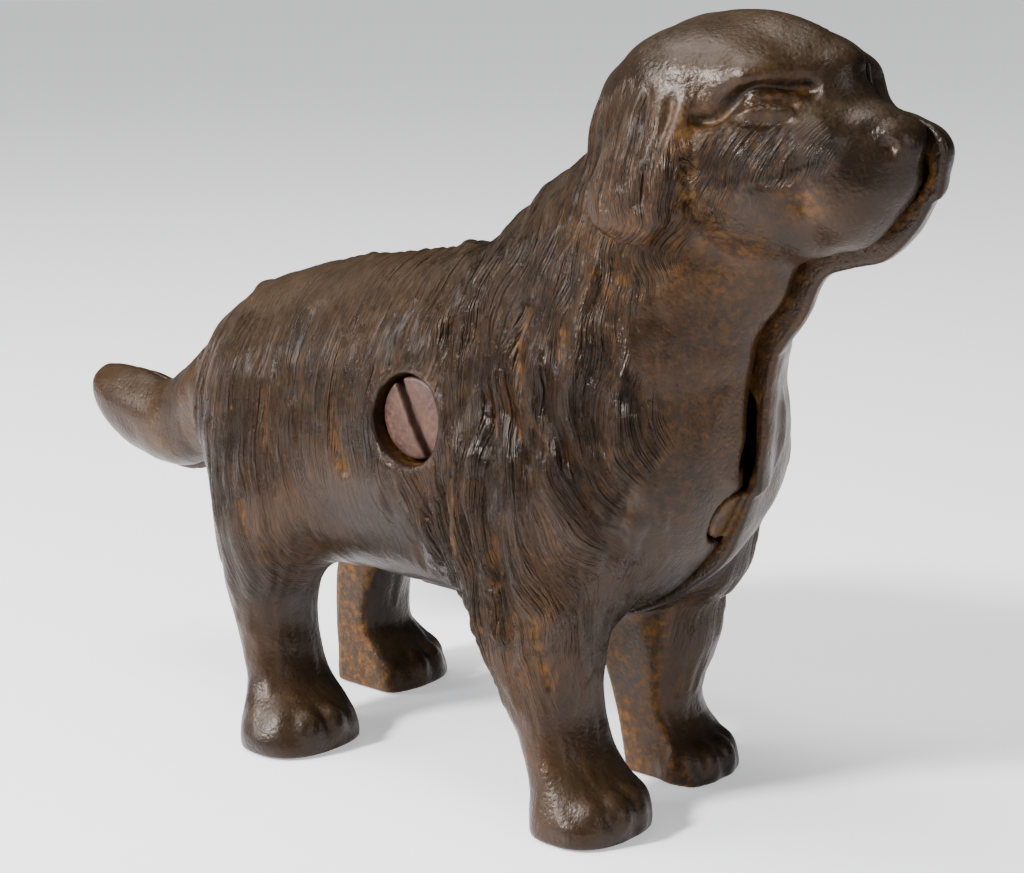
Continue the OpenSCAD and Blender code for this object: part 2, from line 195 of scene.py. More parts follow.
# The coat, place by place: x, y, z, the way the hair lies, then the length,
# width, relief and sway of its locks.
COAT = [
    (-34, 5, 54, -0.6, 0.7, -0.7, 10, 1.4, 0.16, 0.3),
    (-20, 8, 58, -0.25, 0.8, -0.8, 12, 1.5, 0.2, 0.3),
    (-8, 8, 61, -0.15, 0.8, -0.8, 13, 1.5, 0.26, 0.4),
    (6, 9, 63, -0.15, 0.8, -0.8, 15, 1.7, 0.3, 0.5),
    (15, 9, 66, -0.2, 0.7, -0.9, 16, 2.2, 0.42, 0.8),
    (-4, 17, 52, -0.08, 0, -1, 14, 1.6, 0.3, 0.5),
    (4, 18, 44, -0.05, 0, -1, 14, 1.5, 0.28, 0.4),
    (4, 17, 34, -0.05, 0, -1, 12, 1.8, 0.2, 0.4),
    (4, 6, 22, -0.9, -0.2, 0, 8, 1.6, 0.1, 0.2),
    (-14, 17, 48, 0, 0, -1, 16, 2.8, 0.34, 0.6),
    (-24, 17, 50, 0, 0.1, -1, 16, 4.0, 0.42, 0.7),
    (-24, 18, 38, 0.05, 0, -1, 16, 4.2, 0.42, 0.8),
    (-34, 14, 42, -0.1, 0, -1, 13, 2.4, 0.3, 0.5),
    (-40, 8, 44, -0.2, 0.1, -1, 10, 1.6, 0.2, 0.3),
    (-30, 14, 24, 0.1, 0, -1, 10, 2.4, 0.22, 0.4),
    (-16, 15, 26, -0.1, 0, -1, 10, 2.2, 0.22, 0.4),
    (-24, 16, 14, 0, 0, -1, 9, 2.6, 0.16, 0.3),
    (-16, 14, 3, 0.8, 0, -0.4, 4, 2, 0.03, 0),
    (-66, 3, 37, -1, 0, 0.1, 8, 1.5, 0.1, 0.2),
    (-56, 4, 35, -1, 0, 0, 10, 1.6, 0.16, 0.3),
    (-46, 5, 38, -1, 0, -0.3, 10, 1.8, 0.2, 0.3),
    (22, 8, 72, -0.5, 0.6, -1, 15, 2.2, 0.42, 0.7),
    (20, 16, 60, -0.4, 0.1, -1, 20, 3.4, 0.75, 1.6),
    (14, 18, 52, -0.25, 0, -1, 18, 3.4, 0.7, 1.6),
    (16, 18, 42, 0.1, 0, -1, 16, 3.2, 0.6, 1.4),
    (26, 17, 52, 0.05, 0, -1, 20, 3.6, 0.85, 1.6),
    (26, 18, 40, 0.15, 0, -1, 18, 3.4, 0.8, 1.5),
    (33, 15, 58, 0.25, 0, -1, 17, 2.8, 0.6, 1.1),
    (36, 14, 46, 0.45, -0.1, -1, 18, 3.2, 0.6, 1.4),
    (38, 13, 65, 0.3, 0, -1, 10, 2.0, 0.34, 0.5),
    (44, 11, 60, 0.2, -0.1, -1, 10, 1.8, 0.14, 0.5),
    (48, 6, 54, 0, -0.1, -1, 9, 1.6, 0.1, 0.3),
    (45, 5, 42, -0.1, -0.1, -1, 9, 1.6, 0.1, 0.3),
    (42, 10, 40, 0.1, -0.1, -1, 12, 2.4, 0.14, 0.7),
    (36, 10, 30, -0.3, -0.2, -1, 12, 2.4, 0.25, 0.6),
    (26, 18, 30, 0.05, 0, -1, 14, 2.6, 0.5, 0.9),
    (33, 15, 26, 0, 0, -1, 12, 2.2, 0.34, 0.6),
    (17, 15, 28, 0.2, 0, -1, 12, 2.2, 0.4, 0.6),
    (27, 16, 17, 0.1, 0, -1, 10, 2.0, 0.24, 0.4),
    (28, 15, 10, 0.1, 0, -1, 8, 2.2, 0.14, 0.3),
    (34, 13, 3, 0.9, 0, -0.4, 4, 2, 0.03, 0),
    (46, 4, 91, -1, 0.3, 0, 6, 1.6, 0.05, 0.1),
    (36, 6, 89, -1, 0.3, -0.4, 8, 1.6, 0.12, 0.3),
    (57, 4, 89, -1, 0.2, 0.3, 5, 1.6, 0.02, 0),
    (53, 9, 88, -1, 0.2, 0.1, 5, 1.6, 0.02, 0),
    (56, 9, 84.5, -1, 0, -0.3, 3, 1.2, 0.0, 0),
    (63, 5, 81, -1, 0.1, -0.3, 5, 1.4, 0.02, 0),
    (66, 3, 77, -1, 0.1, -0.3, 5, 1.4, 0.01, 0),
    (61, 6, 74, -1, 0.1, -0.3, 5, 1.4, 0.02, 0),
    (60, 8, 79.4, -0.35, 0, -0.95, 4.0, 0.95, 0.26, 0.1),
    (56, 10, 79.2, -0.45, 0, -0.9, 4.4, 1.0, 0.36, 0.15),
    (51, 11.5, 78.5, -0.5, 0, -0.9, 5, 1.15, 0.38, 0.2),
    (48, 12, 74, -0.35, 0, -1, 6, 1.4, 0.34, 0.3),
    (54, 9, 73, -0.8, 0.1, -0.5, 6, 1.5, 0.08, 0.2),
    (50, 7, 68, -0.6, 0.1, -0.8, 7, 1.5, 0.14, 0.3),
    (48, 12, 83, -0.5, 0, -0.9, 3.5, 1.1, 0.16, 0.1),
    (43, 14.5, 88, -0.45, 0.2, -1, 9, 1.5, 0.12, 0.3),
    (40, 15.9, 82, -0.3, 0, -1, 13, 1.5, 0.36, 0.6),
    (40, 16.2, 76, -0.05, 0, -1, 12, 1.5, 0.36, 0.6),
    (38.6, 15.8, 71.5, 0.15, 0, -1, 9, 1.4, 0.26, 0.4),
    (30, 10, 77, -0.6, 0.3, -0.9, 12, 2.0, 0.36, 0.6),
]

# Strands: pitch, share, share on the cheek and ear, seed.
STRANDS = [(2.2, 0.6, 0.4, 41), (1.4, 0.4, 0.6, 42)]

# Carved lines on the flank side: width, depth (ridges positive), rust, path.
CARVED = [
    (1.5, -1.35, 0.05, [(47.6, 82.2), (49.6, 82.3), (51.6, 83.8), (54.0, 85.2), (57.0, 85.5), (59.0, 85.0)]),
    (0.7, 0.25, 0.0, [(53.0, 84.0), (54.4, 84.8), (56.2, 84.9), (57.8, 84.3)]),
    (0.6, -0.55, 0.5, [(53.2, 83.6), (54.8, 84.1), (56.4, 84.1), (57.8, 83.7)]),
    (0.7, 0.34, 0.0, [(53.2, 83.0), (55.0, 83.1), (56.6, 83.0), (57.8, 83.2)]),
    (0.9, -0.45, 0.2, [(51.8, 82.8), (53.6, 82.0), (56.0, 81.9), (58.0, 82.5)]),
    (0.8, -0.4, 0.3, [(53.2, 83.6), (51.6, 83.0), (50.4, 81.8)]),
    (1.4, -0.35, 0.1, [(49.4, 74.6), (52.6, 75.4), (56, 76.1), (59, 76.9), (62.4, 78.2)]),
    (1.8, -0.9, 0.7, [(57.8, 74.8), (58.6, 73.6), (58.2, 72.8)]),
    (0.9, -0.7, 0.0, [(65.6, 80.2), (66.6, 79.8), (66.9, 78.8)]),
    (1.2, -0.55, 0.1, [(45.2, 84.6), (45.6, 82.0), (45.2, 78.4), (44.6, 75.4), (43.6, 72.8)]),
    (1.0, -0.4, 0.1, [(42.0, 85.4), (42.8, 82.0), (42.6, 78.4), (42.0, 75.0)]),
    (2.0, 0.3, 0.0, [(-40.6, 49.6), (-40.2, 47.6)]),
    (2.2, -0.7, 0.0, [(-8.6, 58.0), (-9.4, 52.0), (-9.0, 46.0)]),
    (3.0, -0.8, 0.1, [(-31.0, 52.0), (-30.4, 44.0), (-29.0, 36.0)]),
    (1.2, -0.7, 1.0, [(-2.0, 54.5), (-2.2, 48.0), (-1.6, 42.0), (0.2, 38.0)]),
    (0.9, -0.45, 0.9, [(-13.6, 48.0), (-13.4, 43.0), (-12.8, 39.0)]),
    (0.8, -0.4, 0.8, [(-18.0, 33.0), (-17.4, 28.0)]),
    (0.9, -0.5, 1.0, [(17.6, 45.0), (18.6, 38.0), (19.4, 32.0)]),
    (1.2, -0.6, 0.6, [(8.0, 59.5), (6.6, 55.0), (6.8, 51.0)]),
    (1.2, -0.8, 0.6, [(27.5, 62.0), (27.0, 56.0), (29.0, 50.0), (32.0, 45.0)]),
    (1.1, 0.6, 0.0, [(29.0, 60.0), (29.2, 54.0), (31.6, 48.0), (36.0, 41.5), (38.5, 38.5)]),
    (1.2, -0.8, 0.6, [(19.5, 62.0), (15.0, 57.5), (13.8, 52.0), (15.0, 46.5), (14.0, 42.0)]),
    (1.2, -0.8, 1.0, [(24.6, 36.0), (25.0, 32.0), (24.2, 28.5)]),
    (0.9, -0.5, 0.9, [(21.5, 24.0), (22.2, 19.0), (22.8, 15.0)]),
    (0.9, -0.4, 0.7, [(29.6, 27.5), (30.0, 22.0), (30.2, 17.0)]),
]

# Patches of rust: x, y, z, reach, strength.
RUST_SPOTS = [
    (40, 15, 66.4, 3.4, 1.0),
    (45.5, 13, 69, 3.4, 1.0),
    (46.8, 12, 74, 3.0, 1.0),
    (47.6, 12, 80, 2.4, 0.9),
    (34, 14, 70, 2.6, 0.7),
    (49, 9, 67, 4.0, 0.7),
    (56, 9, 84.6, 2.6, 0.5),
    (52, 5, 58, 7.0, 0.4),
    (46, 7, 50, 7.0, 0.4),
    (44, 9, 44, 6.0, 0.35),
    (-41, 8, 36, 5.0, 0.5),
    (-50, 4, 33, 4.0, 0.5),
    (26, 16, 22, 6.0, 0.35),
    (-12, 15, 26, 5.0, 0.3),
    (58.4, 8, 73.8, 1.6, 0.9),
]


# Lamps: name, place, size, power, colour. They all face the middle of the dog.
LAMPS = [
    ("TopSoft", (-0.15, -0.05, 0.60), 0.30, 3.2, (1.0, 0.985, 0.97)),
    ("KeySoft", (-0.20, -0.60, 0.45), 0.11, 18.0, (0.98, 0.98, 1.0)),
    ("SideSoft", (-0.50, -0.60, 0.32), 0.26, 4.5, (0.96, 0.97, 1.0)),
    ("FrontSoft", (0.75, -0.15, 0.30), 0.30, 2.0, (1.0, 0.98, 0.96)),
]
MIDDLE = (0.0, 0.0, 0.05)
SUN_POWER, SUN_SPREAD, SUN_WAY = 1.3, math.radians(30), (0.25, 0.30, -1.0)
ROOM_LIGHT, ROOM_SEEN = 0.13, 1.0


# ------------------------------------------------------------------ numbers


def smooth_step(low, high, x):
    """0 below low, 1 above high, and the curve 3t^2 - 2t^3 between them."""
    t = np.clip((x - low) / (high - low), 0.0, 1.0)
    return t * t * (3.0 - 2.0 * t)


def melt(a, b, soft):
    """Smallest of a and b, with a fillet of the given softness where they meet."""
    h = np.clip(0.5 + 0.5 * (b - a) / soft, 0.0, 1.0)
    return b * (1.0 - h) + a * h - soft * h * (1.0 - h)


def carve(a, b, soft):
    """Largest of a and b, with a rounded edge of the given softness."""
    return -melt(-a, -b, soft)


def dense(rows, steps):
    """Rows with smooth ones between them: a Catmull-Rom curve through every column."""
    rows = np.asarray(rows, float)
    last = len(rows) - 1
    s = np.linspace(0.0, last, last * steps + 1)
    i = np.minimum(s.astype(int), last - 1)
    t = (s - i)[:, None]
    a, b = rows[np.maximum(i - 1, 0)], rows[i]
    c, d = rows[i + 1], rows[np.minimum(i + 2, last)]
    return 0.5 * (
        2 * b
        + (c - a) * t
        + (2 * a - 5 * b + 4 * c - d) * t**2
        + (3 * b - a - 3 * c + d) * t**3
    )


class Block:
    """A block of evenly spaced points, and a field of distances on it."""

    def __init__(self, low, high, step):
        self.low = np.asarray(low, float)
        self.step = step
        self.count = np.ceil((np.asarray(high) - self.low) / step).astype(int) + 1
        self.axes = [self.low[k] + step * np.arange(self.count[k]) for k in range(3)]

    def span(self, low, high):
        """Index ranges of the part of the block between two corners."""
        first = np.clip(((np.asarray(low) - self.low) / self.step).astype(int), 0, self.count)
        last = np.clip(((np.asarray(high) - self.low) / self.step).astype(int) + 2, 0, self.count)
        return tuple(slice(a, max(b, a + 1)) for a, b in zip(first, last))

    def sample(self, field, points):
        """Field at any points, by straight blending of the eight points round each."""
        g = (points - self.low) / self.step
        g = np.clip(g, 0, self.count - 1.001)
        i = g.astype(int)
        f = (g - i).astype(np.float32)
        x, y, z = i.T
        u, v, w = f.T
        total = 0.0
        for a, wa in ((0, 1 - u), (1, u)):
            for b, wb in ((0, 1 - v), (1, v)):
                for c, wc in ((0, 1 - w), (1, w)):
                    total = total + field[x + a, y + b, z + c] * wa * wb * wc
        return total

    def slope(self, field, points):
        """Gradient of the field at any points, by central differences."""
        out = np.empty_like(points)
        for k in range(3):
            off = np.zeros(3)
            off[k] = 0.6 * self.step
            out[:, k] = self.sample(field, points + off) - self.sample(field, points - off)
        return out / (1.2 * self.step)


def tube(block, field, rows, stride, soft, trim=None, shift=(0.0, 0.0)):
    """Melts a loft of oval rings into the field.

    A point belongs to the ring whose plane it lies in. With v along the ring's
    upright, w across it and radii a and b, its size is
    s = (|v/a|^n + |w/b|^n)^(1/n), and its distance from the skin is r - r/s.
    """
    rows = dense(rows, 8)
    cx = rows[:, 0] + rows[:, 8] * stride + shift[0]
    cz = rows[:, 2] + shift[1]
    reach = rows[:, 4:7].max() + 3.0
    y_high = (rows[:, 1] + rows[:, 6]).max() + 5.0
    part = block.span(
        (cx.min() - reach, block.low[1], cz.min() - reach), (cx.max() + reach, y_high, cz.max() + reach)
    )
    x = block.axes[0][part[0]][:, None]
    y = block.axes[1][part[1]][None, :, None]
    z = block.axes[2][part[2]][None, :]
    pitch = np.radians(rows[:, 3])[:, None, None]
    dx, dz = x - cx[:, None, None], z - cz[:, None, None]
    along = dx * np.cos(pitch) + dz * np.sin(pitch)
    gap = dx**2 + dz**2
    crossing = (along[:-1] >= 0) & (along[1:] < 0)
    cost = np.where(crossing, gap[:-1], 1e9)
    j = cost.argmin(0)
    found = np.take_along_axis(cost, j[None], 0)[0] < 1e8
    near_start = gap[0] < gap[-1]
    j = np.where(found, j, np.where(near_start, 0, len(rows) - 2))
    g0 = np.take_along_axis(along, j[None], 0)[0]
    g1 = np.take_along_axis(along, j[None] + 1, 0)[0]
    t = np.where(found, g0 / np.maximum(g0 - g1, 1e-6), np.where(near_start, 0.0, 1.0))
    past = np.where(found, 0.0, np.where(near_start, np.maximum(-g0, 0), np.maximum(g1, 0)))
    rows = np.column_stack([rows, cx, cz])
    at = rows[j] * (1 - t)[..., None] + rows[j + 1] * t[..., None]
    lean = np.radians(at[..., 3])
    v = -(x - at[..., 9]) * np.sin(lean) + (z - at[..., 10]) * np.cos(lean)
    n = at[..., 7][:, None, :].astype(np.float32)
    up = np.where(v > 0, at[..., 4], at[..., 5])
    vn = (np.abs(v) / up)[:, None, :].astype(np.float32) ** n
    w = (y - at[..., 1][:, None, :]).astype(np.float32)
    wn = np.abs(w / at[..., 6][:, None, :].astype(np.float32)) ** n
    size = np.maximum(vn + wn, 1e-5) ** (1.0 / n)
    r = np.sqrt(v[:, None, :].astype(np.float32) ** 2 + w**2)
    d = r - r / size
    p = past[:, None, :].astype(np.float32)
    d = np.where(p > 0, np.sqrt(np.maximum(d, 0) ** 2 + p**2) + np.minimum(d, 0) * 0.1, d)
    if trim is not None:
        d = carve(d, (trim - y).astype(np.float32), 1.0)
    field[part] = melt(field[part], d, soft)


def lump(block, field, spot, shift=(0.0, 0.0), cut=False):
    """Melts an ellipsoid into the field, or cuts it out: (|p/r| - 1) times the smallest radius."""
    x, y, z, rx, ry, rz, soft = spot
    x, z = x + shift[0], z + shift[1]
    big = max(rx, ry, rz) + 3.0
    part = block.span((x - big, y - big, z - big), (x + big, y + big, z + big))
    px = block.axes[0][part[0]][:, None, None] - x
    py = block.axes[1][part[1]][None, :, None] - y
    pz = block.axes[2][part[2]][None, None, :] - z
    q = np.sqrt((px / rx) ** 2 + (py / ry) ** 2 + (pz / rz) ** 2)
    d = ((q - 1.0) * min(rx, ry, rz)).astype(np.float32)
    field[part] = carve(field[part], -d, soft) if cut else melt(field[part], d, soft)


def skin_of(block, field):
    """Closed quad surface where the field crosses zero.

    Each cell that the surface passes through gets one point, the mean of the
    places where its edges cross zero, and each crossed edge joins its four
    cells with a quad.
    """
    inside = field < 0
    total = np.zeros(block.count - 1, np.int8)
    corners = [(a, b, c) for a in (0, 1) for b in (0, 1) for c in (0, 1)]
    nx, ny, nz = block.count - 1
    for a, b, c in corners:
        total += inside[a : a + nx, b : b + ny, c : c + nz]
    cells = np.argwhere((total > 0) & (total < 8))
    number = np.full(block.count - 1, -1, np.int64)
    number[tuple(cells.T)] = np.arange(len(cells))
    value = np.stack(
        [field[cells[:, 0] + a, cells[:, 1] + b, cells[:, 2] + c] for a, b, c in corners], 1
    )
    spot = np.zeros((len(cells), 3))
    hits = np.zeros(len(cells))
    for i, p in enumerate(corners):
        for k in range(3):
            if p[k]:
                continue
            q = list(p)
            q[k] = 1
            j = corners.index(tuple(q))
            cross = (value[:, i] < 0) != (value[:, j] < 0)
            gap = value[:, i] - value[:, j]
            t = np.where(cross, value[:, i] / np.where(gap == 0, 1, gap), 0)
            where = np.tile(np.array(p, float), (len(cells), 1))
            where[:, k] = t
            spot += where * cross[:, None]
            hits += cross
    points = block.low + block.step * (cells + spot / hits[:, None])
    quads = []
    for k in range(3):
        a, b = (k + 1) % 3, (k + 2) % 3
        first = [slice(1, -1)] * 3
        second = [slice(1, -1)] * 3
        first[k], second[k] = slice(0, -1), slice(1, None)
        one, two = inside[tuple(first)], inside[tuple(second)]
        edges = np.argwhere(one != two)
        outward = one[tuple(edges.T)]
        base = edges.copy()
        base[:, a] += 1
        base[:, b] += 1
        ring = []
        for da, db in ((-1, -1), (0, -1), (0, 0), (-1, 0)):
            cell = base.copy()
            cell[:, a] += da
            cell[:, b] += db
            ring.append(number[tuple(cell.T)])
        ring = np.stack(ring, 1)
        quads.append(np.where(outward[:, None], ring, ring[:, ::-1]))
    return points, np.concatenate(quads)


def relax(points, quads, strength):
    """Moves every point towards the mean of its neighbours along the quads' edges."""
    a = quads.ravel()
    b = np.roll(quads, -1, 1).ravel()
    ends, others = np.concatenate([a, b]), np.concatenate([b, a])
    weight = np.maximum(np.bincount(ends, minlength=len(points)), 1)
    mean = np.stack([np.bincount(ends, points[others, k], len(points)) for k in range(3)], 1)
    return points + strength * (mean / weight[:, None] - points)


def settle(block, field, points, most):
    """Moves points onto the zero of the field along its slope, no further than most."""
    value = block.sample(field, points)
    slope = block.slope(field, points)
    length = np.maximum((slope**2).sum(1), 0.05)
    move = -(value / length)[:, None] * slope
    far = np.linalg.norm(move, axis=1, keepdims=True)
    return points + move * np.minimum(1.0, most / np.maximum(far, 1e-9))


def swell(points, wavelength, seed):
    """Gentle unevenness from -1 to 1: the mean of twelve sine waves in chance directions."""
    rng = np.random.default_rng(seed)
    way = rng.normal(size=(12, 3))
    way /= np.linalg.norm(way, axis=1, keepdims=True)
    way *= (2 * math.pi / wavelength) * rng.uniform(0.6, 1.4, (12, 1))
    turn = rng.uniform(0, 2 * math.pi, 12)
    return np.sin(points @ way.T + turn).mean(1) * 2.4


def unit(v):
    return v / np.maximum(np.linalg.norm(v, axis=-1, keepdims=True), 1e-9)


# ------------------------------------------------------------------ castings


class Casting:
    """One half in its own frame: y runs outwards from the parting plane."""

    def __init__(self, side, step):
        self.side = side
        left = side > 0
        self.shift = (MISMATCH / FIT[0], -MISMATCH / FIT[2]) if left else (0.0, 0.0)
        self.block = Block(BLOCK_LOW, BLOCK_HIGH, step)
        self.outer, room = self.outer_form(left)
        body = carve(self.outer, -(room + WALL), 0.5)
        body = carve(body, (RIM - self.block.axes[1])[None, :, None].astype(np.float32), 0.35)
        self.fittings(body, left)
        ground = (-self.block.axes[2] * FIT[2])[None, None, :].astype(np.float32)
        self.body = carve(body, ground, 0.5)

    def outer_form(self, left):
        """Skin of the half and the trunk that the core leaves hollow."""
        block, shift = self.block, self.shift
        trunk = np.full(block.count, 8.0, np.float32)
        for rows, soft in ((TORSO, 1.0), (NECK, 1.6), (HEAD, 1.6)):
            tube(block, trunk, rows, 0, soft, shift=shift)
        skin = trunk.copy()
        for spot in HEAD_LUMPS:
            lump(block, skin, spot, shift)
        lump(block, skin, STOP_HOLLOW, shift, cut=True)
        for spot in LEFT_LUMPS if left else ():
            lump(block, skin, spot, shift)
        tube(block, skin, TAIL, 0, 3.0, shift=shift)
        front = 0 if left else FRONT_STRIDE / FIT[0]
        hind = 0 if left else HIND_STRIDE / FIT[0]
        tube(block, skin, FRONT_LEG, front, 4.0, FRONT_INNER, shift)
        tube(block, skin, HIND_LEG, hind, 4.0, HIND_INNER, shift)
        tube(block, skin, EAR, 0, 1.3, shift=shift)
        for toes, stride, x, y, rx, ry, wide, tall in (
            (FRONT_TOES, front, 28.6, 10.8, 4.7, 5.2, 2.9, 2.9),
            (HIND_TOES, hind, -23.6, 12.8, 4.6, 5.3, 2.6, 2.8),
        ):
            for angle, size in toes:
                a = math.radians(angle)
                spot = (x + stride + rx * math.cos(a), y + ry * math.sin(a), TOE_HEIGHT)
                lump(block, skin, (*spot, wide * size, TOE_SIDE * size, tall * size, 0.7), shift)
        for spot in BACK_LUMPS:
            lump(block, skin, spot, shift)
        x = block.axes[0][:, None, None]
        y = block.axes[1][None, :, None]
        z = block.axes[2][None, None, :]
        if left:
            front_rim = smooth_step(38, 44, x) * (1 - smooth_step(79, 84, z)) * smooth_step(22, 30, z)
            skin -= (0.95 * front_rim * (1 - smooth_step(1.5, 5.5, y))).astype(np.float32)
        else:
            fore = smooth_step(36, 50, x)
            open_seam = 0.1 + 0.42 * fore * (1 - smooth_step(78, 82, z))
            skin += (open_seam * (1 - smooth_step(0.3, 2.2, y))).astype(np.float32)
            skin -= (0.5 * fore * smooth_step(78, 84, z) * (1 - smooth_step(1.0, 6.0, y))).astype(np.float32)
        return skin, trunk

    def around(self, low, high, x, z):
        """Part of the block between two corners, and its fitted x, y, z from a middle."""
        part = self.block.span(low, high)
        across, out, up = (self.block.axes[k][part[k]] * FIT[k] for k in range(3))
        return part, (across - x)[:, None, None], out[None, :, None], (up - z)[None, None, :]

    def fittings(self, body, left):
        """Boss, cup, holes, coin slot and the tongue or its notch."""
        low, high = (SCREW_X - 13, -5, SCREW_Z - 13), (SCREW_X + 13, 23, SCREW_Z + 13)
        part, x, y, z = self.around(low, high, SCREW_X, SCREW_Z)
        rad = np.sqrt(x**2 + z**2) + 0 * y
        piece = body[part]
        boss = np.maximum(rad - BOSS_R, np.maximum(-y, y - BOSS_ROOT))
        piece = melt(piece, boss.astype(np.float32), 0.8)
        if left:
            hole = np.maximum(rad - TAPPED_HOLE_R, y - TAP_DEPTH)
        else:
            cup = np.maximum(rad - CUP_R, np.maximum(SEAT_Y - CUP_FLOOR - y, y - BOSS_ROOT))
            piece = melt(piece, cup.astype(np.float32), 0.8)
            piece = carve(piece, -np.maximum(rad - RECESS_R, SEAT_Y - y).astype(np.float32), 0.5)
            hole = rad - PLAIN_HOLE_R
        body[part] = carve(piece, -hole.astype(np.float32), 0.2)

        part, x, y, z = self.around((SLOT_X - 21, -5, 40), (SLOT_X + 21, 6, 80), SLOT_X, 0)
        room = np.maximum(np.maximum(np.abs(x) - SLOT_HALF_LENGTH, y - SLOT_HALF_WIDTH), SLOT_FLOOR - z)
        body[part] = carve(body[part], -room.astype(np.float32), 0.6)

        low, high = (NOTCH_X - 9, -5, NOTCH_Z - 9), (NOTCH_X + 9, 7, NOTCH_Z + 9)
        part, x, y, z = self.around(low, high, NOTCH_X, NOTCH_Z)
        c, s = math.cos(math.radians(NOTCH_PITCH)), math.sin(math.radians(NOTCH_PITCH))
        across, rise = x * c - z * s, x * s + z * c
        if left:
            end = np.maximum(-y - (TONGUE_REACH - TONGUE_R), 0)
            tab = np.maximum(np.sqrt(end**2 + rise**2) - TONGUE_R, np.abs(across) - TONGUE_T / 2)
            tab = np.maximum(tab, y - TONGUE_ROOT)
            body[part] = melt(body[part], tab.astype(np.float32), 0.4)
        else:
            r, reach = TONGUE_R + TONGUE_CLEARANCE, TONGUE_REACH + TONGUE_CLEARANCE
            end = np.maximum(y - (reach - r), 0)
            tab = np.maximum(np.sqrt(end**2 + rise**2) - r, np.abs(across) - 2 * WALL)
            body[part] = carve(body[part], -tab.astype(np.float32), 0.5)

    def rest(self, points):
        """Points moved back to where the coat is drawn, without stride or mismatch."""
        out = points.copy()
        out[:, 0] -= self.shift[0]
        out[:, 2] -= self.shift[1]
        if self.side < 0:
            low = 1 - smooth_step(6, 30, out[:, 2])
            fore = out[:, 0] > 8
            out[:, 0] -= np.where(fore, FRONT_STRIDE, HIND_STRIDE) * low
        return out

    def on_flank(self, path):
        """Puts (x, z) marks on the skin: the first crossing met coming in along y."""
        path = dense(np.asarray(path, float), 10)
        path = path + np.array(self.shift)
        ys = np.arange(22.0, -0.5, -0.25)
        probe = np.zeros((len(path), len(ys), 3))
        probe[..., 0] = path[:, :1]
        probe[..., 1] = ys
        probe[..., 2] = path[:, 1:]
        value = self.block.sample(self.outer, probe.reshape(-1, 3)).reshape(len(path), len(ys))
        first = (value < 0).argmax(1)
        points = np.column_stack([path[:, 0], ys[first], path[:, 1]])
        return settle(self.block, self.outer, points, 0.6)


def coat_at(points):
    """The coat's way, length, width, relief and sway at any points, by near marks."""
    coat = np.array(COAT, float)
    out = np.zeros((len(points), 7))
    for first in range(0, len(points), 40000):
        some = points[first : first + 40000]
        gap = ((some[:, None, :] - coat[None, :, :3]) ** 2).sum(2)
        weight = 1.0 / (gap + 4.0) ** 3
        out[first : first + 40000] = (weight @ coat[:, 3:]) / weight.sum(1, keepdims=True)
    return out


def frames(path, normal):
    """Tangent and sideways unit vectors along many paths."""
    tangent = unit(np.gradient(path, axis=1))
    return tangent, unit(np.cross(tangent, normal))


def lay_locks(cast, points, normals, gain, seed):
    """Big locks of hair: paths along the coat's way, with their frames and sizes."""
    rng = np.random.default_rng(seed)
    marks = rng.permutation(len(points))[:6000]
    spots, n = points[marks], normals[marks]
    coat = coat_at(cast.rest(spots))
    coat[:, 5] *= smooth_step(1.6, 2.4, coat[:, 4])
    keep = (coat[:, 5] > 0.05) & ~((n[:, 1] < -0.5) & (spots[:, 2] < 36)) & (spots[:, 1] > -0.3)
    spots, n, coat = spots[keep], n[keep], coat[keep]
    way = unit(coat[:, :3] - (coat[:, :3] * n).sum(1, keepdims=True) * n)
    taken = []
    for i in range(len(spots)):
        if taken:
            off = spots[taken] - spots[i]
            u = off @ way[i]
            v2 = (off**2).sum(1) - u**2
            if ((u / (0.42 * coat[i, 3])) ** 2 + v2 / (0.7 * coat[i, 4]) ** 2 < 1).any():
                continue
        taken.append(i)
    p, coat = spots[taken], coat[taken]
    count, steps = len(taken), 15
    length = coat[:, 3] * rng.uniform(0.8, 1.2, count)
    path = np.zeros((count, steps, 3))
    for k in range(steps):
        path[:, k] = p
        here = coat_at(cast.rest(p))
        n = unit(cast.block.slope(cast.outer, p))
        go = unit(here[:, :3] - (here[:, :3] * n).sum(1, keepdims=True) * n)
        p = p + go * (length / (steps - 1))[:, None]
        p = settle(cast.block, cast.outer, p, 0.8)
    flat = path.reshape(-1, 3)
    n = unit(cast.block.slope(cast.outer, flat)).reshape(path.shape)
    tangent, aside = frames(path, n)
    s = np.linspace(0, 1, steps)[None, :] * length[:, None]
    beat = 2 * math.pi * s / rng.uniform(14, 20, (count, 1)) + rng.uniform(0, 6.28, (count, 1))
    bend = coat[:, 6:7] * np.sin(beat) * smooth_step(0, 0.3, s / length[:, None])
    path = path + aside * bend[..., None]
    path = settle(cast.block, cast.outer, path.reshape(-1, 3), 0.8).reshape(path.shape)
    n = unit(cast.block.slope(cast.outer, path.reshape(-1, 3))).reshape(path.shape)
    tangent, aside = frames(path, n)
    relief = coat[:, 5] * gain * rng.uniform(0.55, 1.15, count)
    return {
        "path": path,
        "tangent": tangent,
        "aside": aside,
        "normal": n,
        "length": length,
        "width": coat[:, 4] * rng.uniform(0.85, 1.2, count),
        "relief": relief,
    }


